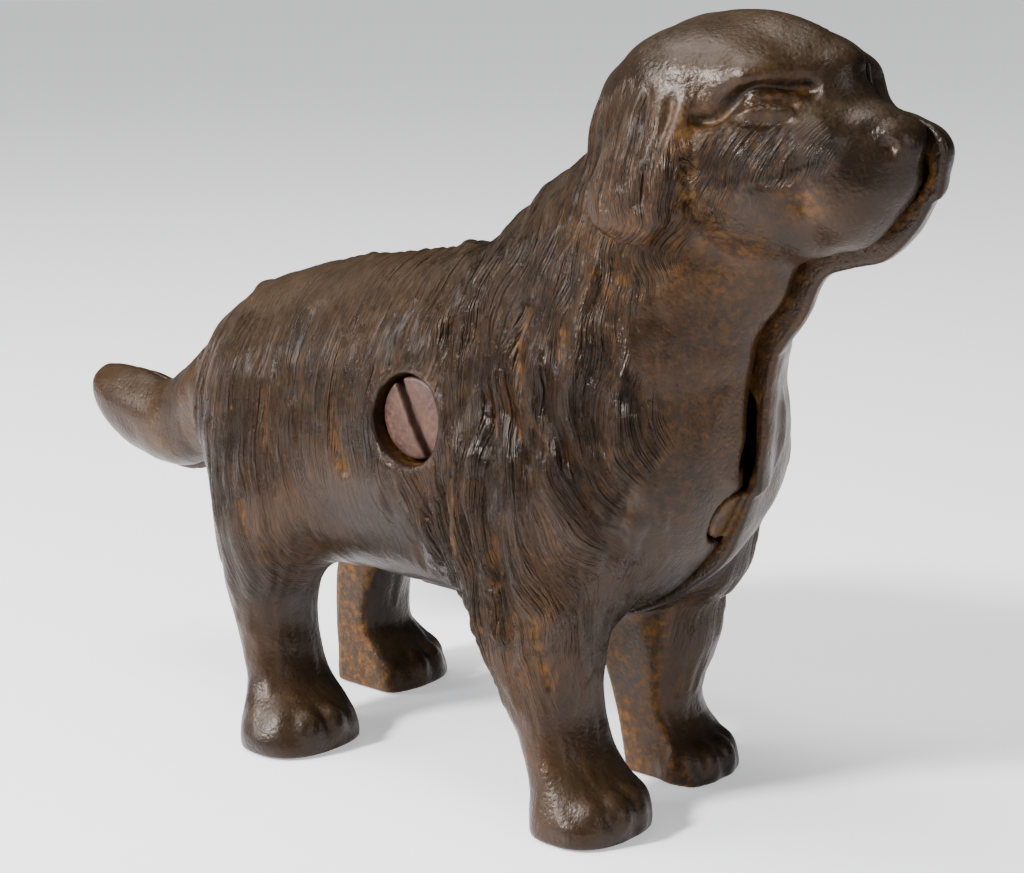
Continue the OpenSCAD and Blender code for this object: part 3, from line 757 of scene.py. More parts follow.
def combed(cast, points):
    """Strands of the long coat: numbers that grow across and along them, their
    relief, and the relief of the bold ridges of the mane.

    The number is x leaned and swayed by slow waves, carried on round the chest
    and the rump as radius times angle, or on the tail the height, so that lines
    of one value run down the coat. Relief is a cosine of it whose strength
    drifts along each strand by a wave of the strand's own turn. The ridges are
    a wider cosine of the same number, bent into an S by a sine of the height.
    """
    rest = cast.rest(points)
    x, y, z = rest.T
    lean = 0.22 * smooth_step(24, 40, x) * (z - 45) * (1 - smooth_step(66, 72, z))
    lean = lean - 0.2 * smooth_step(66, 74, z) * (z - 80) * smooth_step(28, 34, x)
    mane = smooth_step(6, 16, x) * (1 - smooth_step(64, 72, z)) * smooth_step(20, 34, z)
    sway = (0.7 + 2.0 * mane) * swell(rest, 24.0, 31) + (0.25 + 0.4 * mane) * swell(rest, 9.0, 32)
    tail = 1 - smooth_step(-50, -44, x)
    cheek = smooth_step(47.0, 48.6, x) * smooth_step(70.0, 73.0, z)
    axis = CHEST_X + 0.3 * np.maximum(z - 50, 0)
    radius = CHEST_ROUND - 0.25 * np.clip(z - 50, 0, 20)
    out = np.maximum(y, 0)
    ahead = radius * (math.pi / 2 - np.arctan2(out, np.maximum(x - axis, 1e-3)))
    behind = RUMP_ROUND * (math.pi / 2 - np.arctan2(out, np.maximum(RUMP_X - x, 1e-3)))
    round_x = np.where(x > axis, axis + ahead, np.where(x < RUMP_X, RUMP_X - behind, x))
    bend = RIDGE_BEND * mane * np.sin((z - 38) / 8.5)
    across = (round_x + lean + sway + bend) * (1 - tail) + (z + 0.5 * sway) * tail
    along = z * (1 - tail) + x * tail
    slant = 0.88 * x - 0.5 * (z - 78) - 0.012 * (z - 78) ** 2 + 0.3 * sway
    across = across * (1 - cheek) + slant * cheek
    fine = np.maximum(cheek, 0.8 * smooth_step(66, 70, z) * smooth_step(12.0, 13.0, y))
    total = 0.0
    for pitch, share, fine_share, seed in STRANDS:
        share = share + fine * (fine_share - share)
        turn = across / pitch
        own = np.sin(np.round(turn) * 12.9898 + seed) * 43.7
        drift = 0.55 + 0.45 * np.sin(along / (3.1 - 1.7 * cheek) + own)
        total = total + share * drift * (0.5 + 0.5 * np.cos(2 * math.pi * turn))
    turn = across / RIDGE_PITCH + 0.12 * swell(rest, 13.0, 33)
    own = np.sin(np.round(turn) * 7.31) * 21.7
    ridge = (0.5 + 0.5 * np.cos(2 * math.pi * turn)) * (0.6 + 0.4 * np.sin(z / 4.6 + own))
    return across, along, total, mane * (1 - smooth_step(37, 43, round_x)) * (ridge - 0.4)


def near_path(order, sorted_points, path, reach):
    """Numbers of the points in the box round one path."""
    low, high = path.min(0) - reach, path.max(0) + reach
    a, b = np.searchsorted(sorted_points[:, 0], [low[0], high[0]])
    some = sorted_points[a:b]
    fits = (some[:, 1] > low[1]) & (some[:, 1] < high[1]) & (some[:, 2] > low[2]) & (some[:, 2] < high[2])
    return order[a:b][fits]


def along_path(points, path, tangent, aside, normal, spacing):
    """Distance along, across and above a path, in the frame of its nearest mark."""
    gap = ((points[:, None, :] - path[None]) ** 2).sum(2)
    j = gap.argmin(1)
    off = points - path[j]
    u = j * spacing + (off * tangent[j]).sum(1)
    return u, (off * aside[j]).sum(1), (off * normal[j]).sum(1)


def comb(points, locks):
    """Relief of the coat at the points.

    Across a lock the relief is the dome 1 - (v/half)^2, along it rises from the
    root and stops at the tip. Where locks overlap the higher one shows.
    """
    order = np.argsort(points[:, 0])
    ranked = points[order]
    best = np.zeros(len(points))
    for i in range(len(locks["length"])):
        path, length, width = locks["path"][i], locks["length"][i], locks["width"][i]
        near = near_path(order, ranked, path, width)
        if not len(near):
            continue
        u, v, w = along_path(
            points[near], path, locks["tangent"][i], locks["aside"][i], locks["normal"][i], length / (len(path) - 1)
        )
        t = u / length
        half = 0.66 * width * smooth_step(-0.08, 0.3, t) * (1 - 0.6 * smooth_step(0.5, 1.05, t))
        dome = np.clip(1 - (v / np.maximum(half, 0.05)) ** 2, 0, 1)
        rise = smooth_step(-0.02, 0.3, t) * (1 - smooth_step(0.9, 1.05, t)) * (0.6 + 0.4 * t)
        height = rise * locks["relief"][i] * dome
        height = np.where(np.abs(w) < 2.6, height, 0)
        best[near] = np.maximum(best[near], height)
    return best


def carved_lines(cast, points):
    """Depth and rust of the carved lines: bell-shaped across, fading at both ends."""
    order = np.argsort(points[:, 0])
    ranked = points[order]
    depth, rust = np.zeros(len(points)), np.zeros(len(points))
    for width, deep, red, marks in CARVED:
        path = cast.on_flank(marks)
        n = unit(cast.block.slope(cast.outer, path))
        tangent, aside = frames(path[None], n[None])
        near = near_path(order, ranked, path, 2 * width)
        legs = np.linalg.norm(np.diff(path, axis=0), axis=1)
        mean = legs.mean()
        u, v, w = along_path(points[near], path, tangent[0], aside[0], n, mean)
        total = mean * (len(path) - 1)
        ends = smooth_step(-0.3 * width, 1.2 * width, u)
        ends = ends * (1 - smooth_step(total - 1.2 * width, total + 0.3 * width, u))
        bell = np.exp(-((v / (0.55 * width)) ** 2)) * ends * (np.abs(w) < 3)
        depth[near] += deep * bell
        rust[near] = np.maximum(rust[near], red * np.exp(-((v / (0.8 * width)) ** 2)) * ends)
    return depth, rust


def put_mesh(name, points, quads):
    """New object from points in metres and quads, with smooth faces."""
    mesh = bpy.data.meshes.new(name)
    mesh.vertices.add(len(points))
    mesh.vertices.foreach_set("co", np.asarray(points, np.float32).ravel())
    mesh.loops.add(quads.size)
    mesh.loops.foreach_set("vertex_index", quads.astype(np.int32).ravel())
    mesh.polygons.add(len(quads))
    mesh.polygons.foreach_set("loop_start", np.arange(0, quads.size, quads.shape[1], dtype=np.int32))
    mesh.update(calc_edges=True)
    mesh.validate()
    mesh.shade_smooth()
    thing = bpy.data.objects.new(name, mesh)
    bpy.context.scene.collection.objects.link(thing)
    return thing


def put_marks(mesh, name, kind, rows):
    """Stores one row of numbers for each point of a mesh."""
    mark = mesh.attributes.new(name, kind, "POINT")
    mark.data.foreach_set("color" if kind == "FLOAT_COLOR" else "vector", rows.astype(np.float32).ravel())


def thinned(thing, most):
    """The object with its flattest places thinned to at most so many triangles."""
    mesh = thing.data
    mesh.calc_loop_triangles()
    now = len(mesh.loop_triangles)
    if now <= most:
        return
    mod = thing.modifiers.new("Thin", "DECIMATE")
    mod.ratio = most / now
    graph = bpy.context.evaluated_depsgraph_get()
    new = bpy.data.meshes.new_from_object(thing.evaluated_get(graph))
    new.name = mesh.name
    thing.modifiers.clear()
    thing.data = new
    bpy.data.meshes.remove(mesh)
    new.shade_smooth()


def vertices_of(thing):
    flat = np.empty(len(thing.data.vertices) * 3, np.float32)
    thing.data.vertices.foreach_get("co", flat)
    return flat.reshape(-1, 3).astype(float)


def build_casting(name, side, coat):
    """Field, skin, coat and marks for the finish of one half."""
    step = coat.fineness / MM
    cast = Casting(side, step)
    points, quads = skin_of(cast.block, cast.body)
    points = relax(points, quads, 0.5)
    for _ in range(3):
        points = settle(cast.block, cast.body, points, 0.25 * step)
    normals = unit(cast.block.slope(cast.outer, points))
    skin = np.abs(cast.block.sample(cast.outer, points)) < 0.2
    locks = lay_locks(cast, points[skin], normals[skin], coat.relief, LEFT_SEED if side > 0 else RIGHT_SEED)
    hold = holding(cast, points, normals)
    here = coat_at(cast.rest(points))
    relief = here[:, 5] * coat.relief
    strands = coat.strand_relief * np.minimum(0.9 * here[:, 5], 0.3) * smooth_step(0.14, 0.34, here[:, 5])
    _, _, strand, ridge = combed(cast, points)
    best = 0.75 * comb(points, locks) + strands * (strand - 0.4) + RIDGE_HEIGHT * coat.relief * ridge
    lines, _ = carved_lines(cast, points)
    uneven = 0.16 * swell(points, 11.0, 3) + 0.06 * swell(points, 3.6, 4)
    move = (best - 0.3 * relief + lines + coat.unevenness * uneven) * hold
    formed = points + normals * move[:, None]
    world = formed * FIT * MM
    if side < 0:
        world[:, 1] *= -1
        quads = quads[:, ::-1]
    thing = put_mesh(name, world, quads)
    thinned(thing, MOST_TRIANGLES)

    marks = vertices_of(thing) / MM / FIT
    marks[:, 1] *= side
    normals = unit(cast.block.slope(cast.outer, marks))
    hold = holding(cast, marks, normals)
    best = comb(marks, locks)
    across, along, strand, _ = combed(cast, marks)
    lines, red = carved_lines(cast, marks)
    here = coat_at(cast.rest(marks))
    relief = here[:, 5] * coat.relief
    hair = smooth_step(0.16, 0.36, here[:, 5]) * hold
    low = np.clip(1 - best / np.maximum(0.6 * relief, 0.05), 0, 1) ** 2 * smooth_step(0.3, 0.7, relief)
    between = np.clip(1 - 2.2 * strand, 0, 1) * hair
    # Crevice depth between locks, between strands and along carved lines: it places real rust in these hollows and
    # also the painted shade that darkens them.
    crevice = np.clip(0.7 * low + 0.3 * between + np.clip(-lines, 0, 1), 0, 1) * hold
    up = smooth_step(0.05, 0.9, normals[:, 2]) * hold
    rust = red.copy() * hold
    for x, y, z, reach, strength in RUST_SPOTS:
        gap = ((cast.rest(marks) - (x, y, z)) ** 2).sum(1)
        rust = np.maximum(rust, strength * np.exp(-gap / (2 * reach**2)))
    inner = smooth_step(0.5, 0.8, -normals[:, 1]) * (1 - smooth_step(26, 34, marks[:, 2]))
    rust = np.maximum(rust, 0.95 * inner)
    inside = cast.block.sample(cast.outer, marks) < -1.2
    rust = np.where(inside, 0.8, rust)
    # The crevice channel of these marks drives both rust and painted crease shade.
    put_marks(thing.data, "patina_and_shade", "FLOAT_COLOR", np.column_stack([crevice, up, rust, hair]))
    put_marks(thing.data, "comb", "FLOAT_VECTOR", np.column_stack([across, along, 0 * along]))
    return thing


def holding(cast, points, normals):
    """How fully the coat shows: none inside, at the ground, the recess and flat leg faces."""
    on_skin = 1 - smooth_step(0.9, 1.6, np.abs(cast.block.sample(cast.outer, points)))
    hold = on_skin * (0.2 + 0.8 * smooth_step(RIM, RIM + 1.6, points[:, 1])) * (points[:, 1] > RIM - 0.2)
    hold = hold * smooth_step(0.2, 2.0, points[:, 2])
    hold = hold * smooth_step(-0.8, -0.4, normals[:, 1])
    if cast.side < 0:
        rad = np.hypot(points[:, 0] * FIT[0] - SCREW_X, points[:, 2] * FIT[2] - SCREW_Z)
        rim = smooth_step(RECESS_R - 0.1, RECESS_R + 1.2, rad)
        hold = hold * np.where(points[:, 1] > 8, rim, 1)
    return hold


# ------------------------------------------------------------------ screw


def build_screw(name, sizes):
    """Cheese-head machine screw as loops carried down its axis.

    The head's top is a patch of rows across the driver slot, each row a chord
    of the disc; its height is the slot's floor between the slot's walls. The
    patch's outline then goes down as loops: the loop's radius is the head's,
    then the shank's with r = core + crest * wave(2 pi depth / pitch - turn),
    a helical thread, then the tip's cone.
    """
    head_r, shank_r = sizes.head_diameter / MM / 2, sizes.thread_diameter / MM / 2
    width, deep = sizes.slot_width / MM / 2, sizes.slot_depth / MM
    rim_r = head_r - HEAD_CHAMFER
    lean = sizes.slot_angle
    across_way = np.array([math.cos(lean), 0, math.sin(lean)])
    along_way = np.array([-math.sin(lean), 0, math.cos(lean)])

    side = rim_r * np.sin(np.linspace(0.02, 1, 22) * math.pi / 2)
    side = side[side > width + 0.25]
    walls = np.array([width - 0.12, width - 0.02, width + 0.03, width + 0.14])
    half = np.concatenate([np.linspace(0.1, width - 0.22, 4), walls, side])
    rows = np.concatenate([-half[::-1], half])
    rows *= 0.985 * rim_r / rows.max()
    columns = np.linspace(-1, 1, 45)
    a = rows[:, None] + 0 * columns
    b = np.sqrt(np.maximum(rim_r**2 - rows**2, 0))[:, None] * columns
    in_slot = 1 - smooth_step(width - 0.08, width + 0.08, np.abs(a))
    flat = np.stack([a, 0 * a, b], 2).reshape(-1, 3)
    worn = 0.07 * swell(flat, 3.0, 21) + 0.04 * swell(flat, 1.1, 22)
    sunk = deep * in_slot.ravel() + worn + 0.16 * (np.hypot(a, b).ravel() / rim_r) ** 4
    patch = np.column_stack([a.ravel(), HEAD_TOP_Y + sunk, b.ravel()])
    n, m = a.shape
    grid = np.arange(n * m).reshape(n, m)
    quads = [
        np.stack([grid[:-1, :-1], grid[:-1, 1:], grid[1:, 1:], grid[1:, :-1]], 2).reshape(-1, 4)
    ]
    outline = np.concatenate([grid[:-1, -1], grid[-1, :0:-1], grid[:0:-1, 0], grid[0, :-1]])
    edge = patch[outline]
    turn = np.arctan2(edge[:, 2], edge[:, 0])
    patch[outline, 0], patch[outline, 2] = rim_r * np.cos(turn), rim_r * np.sin(turn)

    drop = np.clip(edge[:, 1] - HEAD_TOP_Y, 0, None)
    loops = [
        (rim_r + 0.6 * HEAD_CHAMFER, HEAD_TOP_Y + np.maximum(drop, 0.12)),
        (head_r, HEAD_TOP_Y + np.maximum(drop, HEAD_CHAMFER)),
    ]
    loops += [(head_r, np.maximum(y, HEAD_TOP_Y + drop + 0.02)) for y in np.linspace(-15.2, -SEAT_Y - 0.2, 5)]
    loops += [(head_r - 0.18, -SEAT_Y + 0 * drop), (shank_r + 0.5, -SEAT_Y + 0 * drop)]
    for y in np.arange(-SEAT_Y + 0.25, TIP_Y - 0.8, THREAD_PITCH / 9):
        wave = 0.5 - 0.5 * np.cos(2 * math.pi * y / THREAD_PITCH - turn)
        cut = THREAD_CREST * smooth_step(-6.5, -4.5, y) * wave
        loops.append((shank_r - 0.5 * cut, y + 0 * drop))
    loops += [(shank_r - 0.35, TIP_Y - 0.5 + 0 * drop), (shank_r - 0.8, TIP_Y + 0 * drop)]
    rings = [np.column_stack([r * np.cos(turn), y, r * np.sin(turn)]) for r, y in loops]
    count = len(outline)
    points = np.concatenate([patch, *rings, [[0, TIP_Y, 0]]])
    ring = np.concatenate([outline[None], n * m + np.arange(len(rings) * count).reshape(-1, count)])
    following = np.roll(ring, -1, 1)
    quads.append(np.stack([ring[:-1], ring[1:], following[1:], following[:-1]], 2).reshape(-1, 4))
    tip = np.full(count, len(points) - 1)
    fan = np.stack([ring[-1], tip, following[-1]], 1)
    quads = np.concatenate(quads)

    place = points[:, :1] * across_way + points[:, 2:] * along_way
    place[:, 1] = points[:, 1]
    rough = 0.03 * swell(place, 1.6, 23)[:, None] * unit(place * (1, 0, 1))
    place = place + np.where(points[:, 1:2] < -SEAT_Y, rough, 0) + (SCREW_X, 0, SCREW_Z)
    faces = [*quads.tolist(), *fan.tolist()]
    mesh = bpy.data.meshes.new(name)
    mesh.from_pydata((place * MM).tolist(), [], faces)
    mesh.update()
    mesh.shade_smooth()
    volume = signed_volume(place, quads)
    if volume < 0:
        mesh.flip_normals()
    thing = bpy.data.objects.new(name, mesh)
    bpy.context.scene.collection.objects.link(thing)

    low = np.zeros(len(points))
    # Painted shade: the driver slot and the head's edge beside the recess wall are marked for darkening.
    low[: n * m] = np.clip(in_slot.ravel() + 0.5 * (np.hypot(a, b).ravel() > 0.93 * rim_r), 0, 1)
    put_marks(mesh, "patina_and_shade", "FLOAT_COLOR", np.column_stack([low, 0 * low, 0.6 + 0 * low, 1 - low]))
    return thing


def signed_volume(points, quads):
    """Volume inside the quads, negative where they face inwards."""
    a, b, c, d = (points[quads[:, k]] for k in range(4))
    return (a * (np.cross(b, c) + np.cross(c, d))).sum() / 6


# ------------------------------------------------------------------ finishes


def linear(rgb):
    """Colour as seen on a screen turned into linear light."""
    c = np.asarray(rgb, float)
    return (*np.where(c <= 0.04045, c / 12.92, ((c + 0.055) / 1.055) ** 2.4), 1.0)


class Finish:
    """A node material put together one node at a time."""

    def __init__(self, name):
        self.material = bpy.data.materials.new(name)
        self.material.use_nodes = True
        self.tree = self.material.node_tree
        self.tree.nodes.clear()

    def node(self, kind, inputs=None, **settings):
        made = self.tree.nodes.new(kind)
        for key, value in settings.items():
            setattr(made, key, value)
        for key, value in (inputs or {}).items():
            socket = made.inputs[key]
            if isinstance(value, bpy.types.NodeSocket):
                self.tree.links.new(value, socket)
            else:
                socket.default_value = value
        return made

    def math(self, operation, a, b=0.0, c=0.0):
        return self.node("ShaderNodeMath", {0: a, 1: b, 2: c}, operation=operation).outputs[0]

    def times(self, a, b):
        return self.math("MULTIPLY", a, b)

    def ramp(self, value, low, high):
        """Value from 0 at low to 1 at high, held outside."""
        made = self.node(
            "ShaderNodeMapRange",
            {"Value": value, "From Min": low, "From Max": high, "To Min": 0.0, "To Max": 1.0},
            interpolation_type="SMOOTHSTEP",
        )
        return made.outputs["Result"]

    def mix(self, factor, a, b):
        made = self.node("ShaderNodeMix", data_type="RGBA")
        for socket, value in ((made.inputs[0], factor), (made.inputs[6], a), (made.inputs[7], b)):
            if isinstance(value, bpy.types.NodeSocket):
                self.tree.links.new(value, socket)
            else:
                socket.default_value = value
        return made.outputs[2]

    def noise(self, where, scale, detail=4.0, roughness=0.55):
        made = self.node(
            "ShaderNodeTexNoise", {"Vector": where, "Scale": scale, "Detail": detail, "Roughness": roughness}
        )
        return made.outputs["Fac"]

    def bump(self, height, distance, strength, below=None):
        inputs = {"Height": height, "Distance": distance, "Strength": strength}
        if below is not None:
            inputs["Normal"] = below
        return self.node("ShaderNodeBump", inputs).outputs["Normal"]

    def close(self, shader):
        out = self.node("ShaderNodeOutputMaterial")
        self.tree.links.new(shader.outputs[0], out.inputs["Surface"])
        return self.material


def cast_iron(name, look, warmth):
    """Old browned cast iron: dark glossy high places greyed partly by real wear and
    partly by a painted sheen, rust and painted shade in the low ones, and olive dust
    on top, with casting grain and fine strands of hair."""
    f = Finish(name)
    place = f.node("ShaderNodeTexCoord").outputs["Object"]
    # These marks also carry the crevice depth, which drives both rust and the painted crease shade.
    marks = f.node("ShaderNodeAttribute", attribute_name="patina_and_shade")
    parts = f.node("ShaderNodeSeparateColor", {"Color": marks.outputs["Color"]})
    crevice, dust, rust = parts.outputs[0], parts.outputs[1], parts.outputs[2]
    hair = marks.outputs["Alpha"]
    lay = f.node("ShaderNodeAttribute", attribute_name="comb").outputs["Vector"]
    lay = f.node("ShaderNodeVectorMath", {0: lay, 1: (1.9, 0.09, 3.7)}, operation="MULTIPLY").outputs[0]

    broad = f.noise(place, 55.0, 3.0)
    patchy = f.noise(place, 210.0, 5.0, 0.65)
    speck = f.noise(place, 900.0, 4.0, 0.7)
    grain = f.noise(place, 2300.0, 3.0, 0.6)
    strand = f.noise(lay, 1.0, 4.0, 0.62)
    pits = f.node("ShaderNodeTexVoronoi", {"Vector": place, "Scale": 1300.0}).outputs["Distance"]

    dark, brown = linear(look.iron_dark), linear(look.iron_brown)
    rust_deep, rust_pale = linear(look.rust_deep), linear(look.rust_pale)
    colour = f.mix(f.ramp(broad, 0.36, 0.64), dark, brown)
    colour = f.mix(f.times(f.ramp(patchy, 0.5, 0.72), 0.45), colour, linear((0.15, 0.09, 0.042)))
    colour = f.mix(f.times(f.ramp(speck, 0.5, 0.7), 0.35), colour, linear((0.035, 0.021, 0.013)))
    # Rubbed high places: a greyer colour, partly real wear and partly a painted sheen standing in for their glossy
    # reflection; the roughness drop below is real.
    worn = f.times(f.math("SUBTRACT", 1.0, crevice), hair)
    colour = f.mix(f.times(worn, 0.25), colour, linear(look.worn))

    broken = f.ramp(f.math("ADD", f.times(patchy, 0.6), f.times(speck, 0.4)), 0.4, 0.62)
    in_low = f.times(crevice, f.math("MULTIPLY_ADD", broken, 0.5, 0.05 * warmth))
    in_spot = f.times(rust, f.math("MULTIPLY_ADD", broken, 0.7, 0.3))
    stray = f.times(f.ramp(f.times(broad, patchy), 0.32, 0.42), 0.27 * warmth)
    rusty = f.math("MINIMUM", f.math("MAXIMUM", f.math("MAXIMUM", in_low, in_spot), stray), 1.0)
    rust_colour = f.mix(f.ramp(speck, 0.36, 0.66), rust_deep, rust_pale)
    colour = f.mix(rusty, colour, rust_colour)
    dusty = f.times(dust, f.math("MULTIPLY_ADD", f.ramp(speck, 0.35, 0.65), 0.4, 0.28))
    colour = f.mix(dusty, colour, linear(look.dust))
    # Painted shade: the deepest creases between locks, between strands and along carved lines are darkened towards
    # near-black, standing in for the shade that falls there.
    painted_crease_shade = f.times(f.ramp(crevice, 0.35, 0.9), 0.5)
    colour = f.mix(painted_crease_shade, colour, linear((0.03, 0.018, 0.011)))

    rough = f.math("MULTIPLY_ADD", patchy, 0.16, look.roughness - 0.08)
    rough = f.math("ADD", rough, f.times(rusty, 0.32))
    rough = f.math("ADD", rough, f.times(dusty, 0.35))
    rough = f.math("SUBTRACT", rough, f.times(worn, 0.09))
    metal = f.times(f.math("SUBTRACT", 1.0, f.math("MAXIMUM", rusty, dusty)), 0.12)

    normal = f.bump(f.times(f.ramp(strand, 0.3, 0.7), hair), 0.0006, 0.95)
    normal = f.bump(f.ramp(pits, 0.05, 0.5), 0.00006, 0.5, normal)
    normal = f.bump(grain, 0.00011, 0.65, normal)
    normal = f.bump(patchy, 0.0002, 0.3, normal)
    shader = f.node(
        "ShaderNodeBsdfPrincipled",
        {"Base Color": colour, "Roughness": rough, "Metallic": metal, "Normal": normal, "IOR": 1.55},
    )
    shader.inputs["Specular IOR Level"].default_value = 0.2
    shader.inputs["Specular Tint"].default_value = (1.0, 0.88, 0.80, 1)
    shader.inputs["Coat Weight"].default_value = 0.03
    shader.inputs["Coat Roughness"].default_value = 0.3
    return f.close(shader)


def old_steel(name, look):
    """Reddish rusted steel, with painted shade darkening the driver slot and the edge of the head."""
    f = Finish(name)
    place = f.node("ShaderNodeTexCoord").outputs["Object"]
    marks = f.node("ShaderNodeAttribute", attribute_name="patina_and_shade")
    parts = f.node("ShaderNodeSeparateColor", {"Color": marks.outputs["Color"]})
    low = parts.outputs[0]
    patchy = f.noise(place, 420.0, 5.0, 0.65)
    speck = f.noise(place, 1500.0, 4.0, 0.7)
    colour = f.mix(f.ramp(patchy, 0.36, 0.66), linear(look.screw_red), linear(look.screw_brown))
    colour = f.mix(f.times(f.ramp(speck, 0.52, 0.7), 0.6), colour, linear((0.34, 0.23, 0.16)))
    # Painted shade: darker in the driver slot and round the head's edge.
    colour = f.mix(f.times(low, 0.55), colour, linear((0.10, 0.06, 0.04)))
    rough = f.math("MULTIPLY_ADD", patchy, 0.3, 0.42)
    normal = f.bump(speck, 0.00012, 0.7)
    normal = f.bump(patchy, 0.0003, 0.5, normal)
    shader = f.node(
        "ShaderNodeBsdfPrincipled", {"Base Color": colour, "Roughness": rough, "Metallic": 0.35, "Normal": normal}
    )
    return f.close(shader)


def pale_stage(name, colour, roughness):
    """Plain satin sheet with the faintest unevenness of tone."""
    f = Finish(name)
    place = f.node("ShaderNodeTexCoord").outputs["Object"]
    tone = f.noise(place, 3.0, 2.0)
    shade = f.mix(f.times(tone, 0.12), linear(colour), linear([0.97 * c for c in colour]))
    shader = f.node("ShaderNodeBsdfPrincipled", {"Base Color": shade, "Roughness": roughness})
    shader.inputs["Emission Color"].default_value = (0.96, 0.97, 1.0, 1)
    shader.inputs["Emission Strength"].default_value = 0.5
    return f.close(shader)


# ------------------------------------------------------------------ settings


def length_setting(name, description, default):
    return FloatProperty(
        name=name, description=description, default=default, min=0.0, subtype="DISTANCE", unit="LENGTH"
    )


def colour_setting(name, description, default):
    return FloatVectorProperty(
        name=name, description=description, default=default, size=3, min=0, max=1, subtype="COLOR"
    )


def angle_setting(name, description, degrees):
    return FloatProperty(name=name, description=description, default=math.radians(degrees), subtype="ANGLE")


def amount_setting(name, description, default, low=0.0, high=2.0):
    return FloatProperty(name=name, description=description, default=default, min=low, max=high)


class BankCoat(bpy.types.PropertyGroup):
    fineness: length_setting("Fineness", "Spacing of the points that the castings are worked out on", 0.37 * MM)
    strand_relief: amount_setting("Strand relief", "How boldly the single strands stand out", 2.0)
    relief: amount_setting("Relief", "How boldly the locks stand out", 1.6)
    unevenness: amount_setting("Unevenness", "How uneven the cast skin is", 1.0)


class BankLook(bpy.types.PropertyGroup):
    iron_dark: colour_setting("Dark iron", "Darkest colour of the bare iron", (0.076, 0.046, 0.024))
    iron_brown: colour_setting("Brown iron", "Browned colour of the iron", (0.155, 0.097, 0.047))
    # The worn colour is partly real wear on high places and partly a painted sheen.
    worn: colour_setting("Worn iron", "Colour of the rubbed high places", (0.125, 0.088, 0.065))
    rust_deep: colour_setting("Deep rust", "Darker rust in the low places", (0.165, 0.098, 0.03))
    rust_pale: colour_setting("Pale rust", "Brighter rust", (0.36, 0.23, 0.06))
    dust: colour_setting("Dust", "Olive dust on upward faces", (0.17, 0.128, 0.07))
    roughness: amount_setting("Roughness", "Roughness of the clean iron", 0.31, 0.05, 1.0)
    screw_red: colour_setting("Screw red", "Redder colour of the screw head", (0.20, 0.10, 0.065))
    screw_brown: colour_setting("Screw brown", "Browner colour of the screw head", (0.26, 0.16, 0.10))


class BankScrew(bpy.types.PropertyGroup):
    head_diameter: length_setting("Head diameter", "Across the cheese head", 9.8 * MM)
    thread_diameter: length_setting("Thread diameter", "Outside of the thread", 4.76 * MM)
    slot_width: length_setting("Slot width", "Width of the driver slot", 1.3 * MM)
    slot_depth: length_setting("Slot depth", "Depth of the driver slot", 1.3 * MM)
    slot_angle: angle_setting("Slot angle", "Turn of the driver slot from upright", 28)


class BankStage(bpy.types.PropertyGroup):
    azimuth: angle_setting("Azimuth", "Turn of the camera round the dog", 41.1)
    elevation: angle_setting("Elevation", "Height of the camera's view", 12.95)
    roll: angle_setting("Roll", "Roll of the camera", 0.54)
    distance: length_setting("Distance", "From the camera to the middle of the dog", 0.264)
    aim_height: length_setting("Aim height", "Height of the point that the camera faces", 0.0419)
    aim_forward: length_setting("Aim forward", "How far forward that point lies", 0.0112)
    lens: amount_setting("Lens", "Focal length in millimetres", 75.6, 10.0, 300.0)
    light: amount_setting("Light", "Strength of all the lamps", 1.0, 0.0, 5.0)


# ------------------------------------------------------------------ operators


def finish_piece(thing, node, body, material):
    """Gives a piece its finish and its place in the frame."""
    if not len(thing.data.polygons):
        raise RuntimeError(f"{thing.name} has no faces")
    thing.data.materials.clear()
    thing.data.materials.append(material)
    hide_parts(node)
    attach(thing, body)


class BANK_OT_right_casting(bpy.types.Operator):
    """Casts the right half, with the cup for the screw head and the chest notch"""

    bl_idname = "bank.right_casting"
    bl_label = "Right casting"

    def execute(self, context):
        iron = cast_iron("BrownedIronRight", context.scene.bank_look, 1.0)
        thing = build_casting("RightCasting", -1, context.scene.bank_coat)
        finish_piece(thing, "right_half", "right", iron)
        return {"FINISHED"}


class BANK_OT_left_casting(bpy.types.Operator):
    """Casts the left half, with the tapped boss and the chest tongue"""

    bl_idname = "bank.left_casting"
    bl_label = "Left casting"

    def execute(self, context):
        iron = cast_iron("BrownedIronLeft", context.scene.bank_look, 1.3)
        thing = build_casting("LeftCasting", 1, context.scene.bank_coat)
        finish_piece(thing, "left_half", "left", iron)
        return {"FINISHED"}


class BANK_OT_clamp_screw(bpy.types.Operator):
    """Makes the slotted machine screw that clamps the halves"""

    bl_idname = "bank.clamp_screw"
    bl_label = "Clamp screw"

    def execute(self, context):
        scene = context.scene
        thing = build_screw("ClampScrew", scene.bank_screw)
        finish_piece(thing, "clamp_screw", "screw", old_steel("RustedSteel", scene.bank_look))
        return {"FINISHED"}


def add_lamp(name, place, aim, size, power, colour):
    """Square area lamp at a place, turned to face a point."""
    lamp = bpy.data.lights.new(name, "AREA")
    lamp.size, lamp.energy, lamp.color = size, power, colour
    thing = bpy.data.objects.new(name, lamp)
    thing.location = place
    thing.rotation_euler = (Vector(aim) - Vector(place)).to_track_quat("-Z", "Y").to_euler()
    bpy.context.scene.collection.objects.link(thing)


